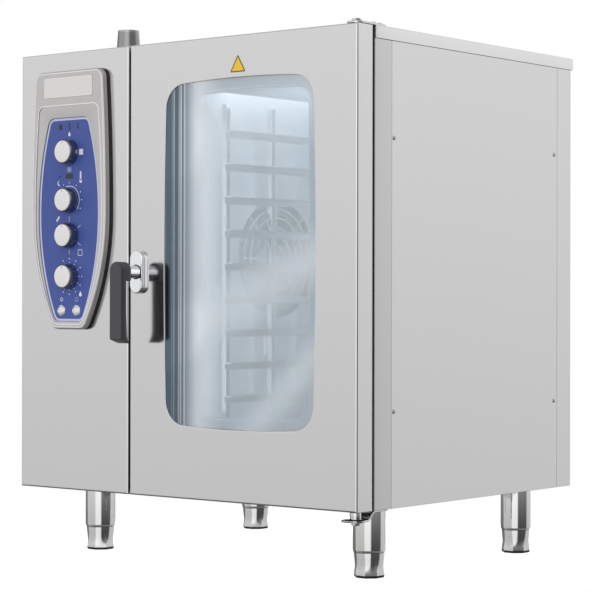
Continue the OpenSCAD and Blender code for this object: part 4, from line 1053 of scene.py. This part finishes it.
def studio_light():
    """White surroundings, a little brighter overhead, with one soft box beside the camera and two dark flags
    at the sides, which give the polished metal its edges; they fade low down and high up. Bearing is measured
    from the front, towards the right."""
    world = bpy.data.worlds.new("studio_light")
    bpy.context.scene.world = world
    world.use_nodes = True
    tree = world.node_tree
    tree.nodes.clear()
    way = add_node(tree, "TexCoord").outputs["Generated"]
    right, back, up = add_node(tree, "SeparateXYZ", {0: way}).outputs
    bearing = maths(tree, "ARCTAN2", right, maths(tree, "MULTIPLY", back, -1.0))
    low, high, rise = -22, 26, 8

    def height_of(angle):
        """Height on the unit sphere of an angle above the horizon."""
        return np.sin(np.radians(angle))

    def patch(centre, half, soft, value):
        """One soft-edged patch: its share falls from one to nought over the soft margin of bearing and of
        height."""
        away = maths(tree, "ABSOLUTE", maths(tree, "SUBTRACT", bearing, np.radians(centre)))
        share = ramp(tree, away, np.radians(half + soft), np.radians(half), 0.0, 1.0)
        under = ramp(tree, up, height_of(low - rise), height_of(low), 0.0, 1.0)
        over = ramp(tree, up, height_of(high + rise), height_of(high), 0.0, 1.0)
        both = maths(tree, "MULTIPLY", maths(tree, "MULTIPLY", share, under), over)
        return maths(tree, "MULTIPLY", both, value)

    strength = ramp(tree, up, -0.3, 0.3, 0.8, 1.14)
    for box_or_flag in ((27, 19, 9, 0.55), (87, 33, 12, -0.7), (-116, 36, 12, -0.6)):
        strength = maths(tree, "ADD", strength, patch(*box_or_flag))
    for start, end, dark in ((-0.25, -0.6, 0.22), (0.35, 0.8, 0.6)):
        strength = maths(tree, "MULTIPLY", strength, ramp(tree, up, start, end, 1.0, dark))
    seen = add_node(tree, "LightPath").outputs["Is Camera Ray"]
    backdrop = add_node(tree, "Background", {"Color": (1, 1, 1, 1), "Strength": 1.0})
    light = add_node(tree, "Background", {"Color": (1, 1, 1, 1), "Strength": strength})
    add_node(tree, "OutputWorld", {"Surface": two_shaders(tree, seen, light, backdrop).outputs[0]})


def chamber_light(name, place, turn, size, energy):
    """Soft light inside the chamber, so the racks show through the window."""
    light = bpy.data.lights.new(name, "AREA")
    light.shape = "RECTANGLE"
    light.size, light.size_y = size
    light.energy = energy
    obj = placed(name, light)
    obj.location = place * MM
    obj.rotation_euler = turn


def viewing_camera():
    """Looks along the bearing and the slight tilt; right is the way crossed with up, then both turn by the
    roll."""
    bearing, tilt, roll = np.radians([38.9105, -0.1180, 0.1046])
    right_of_middle, before_door, eye_height = 2.7830, 3.071, 0.5386
    back = np.array([np.sin(bearing) * np.cos(tilt), -np.cos(bearing) * np.cos(tilt), np.sin(tilt)])
    right = np.cross(-back, [0, 0, 1])
    right /= np.linalg.norm(right)
    up = np.cross(right, -back)
    right, up = right * np.cos(roll) + up * np.sin(roll), up * np.cos(roll) - right * np.sin(roll)
    place = np.eye(4)
    place[:3, 0], place[:3, 1], place[:3, 2] = right, up, back
    place[:3, 3] = (right_of_middle, door_y * MM - before_door, eye_height)
    camera = bpy.data.cameras.new("viewing_camera")
    camera.lens = 125.74
    camera.sensor_width = 36
    obj = placed("viewing_camera", camera)
    obj.matrix_world = Matrix(place.tolist())
    bpy.context.scene.camera = obj


studio_floor()
studio_light()
lin_mid = (lin_lo + lin_hi) / 2
ceiling_at = np.array([lin_mid[0], -50, lin_hi[2] - 20])
mouth_at = np.array([lin_mid[0] + 30, frame_lo[1] + 12, lin_mid[2]])
chamber_light("ceiling_light", ceiling_at, (0, 0, 0), (0.3, 0.4), 2.2)
chamber_light("mouth_light", mouth_at, (np.pi / 2, 0, 0), (0.35, 0.6), 3.2)
viewing_camera()
bpy.context.scene.view_settings.view_transform = "Standard"
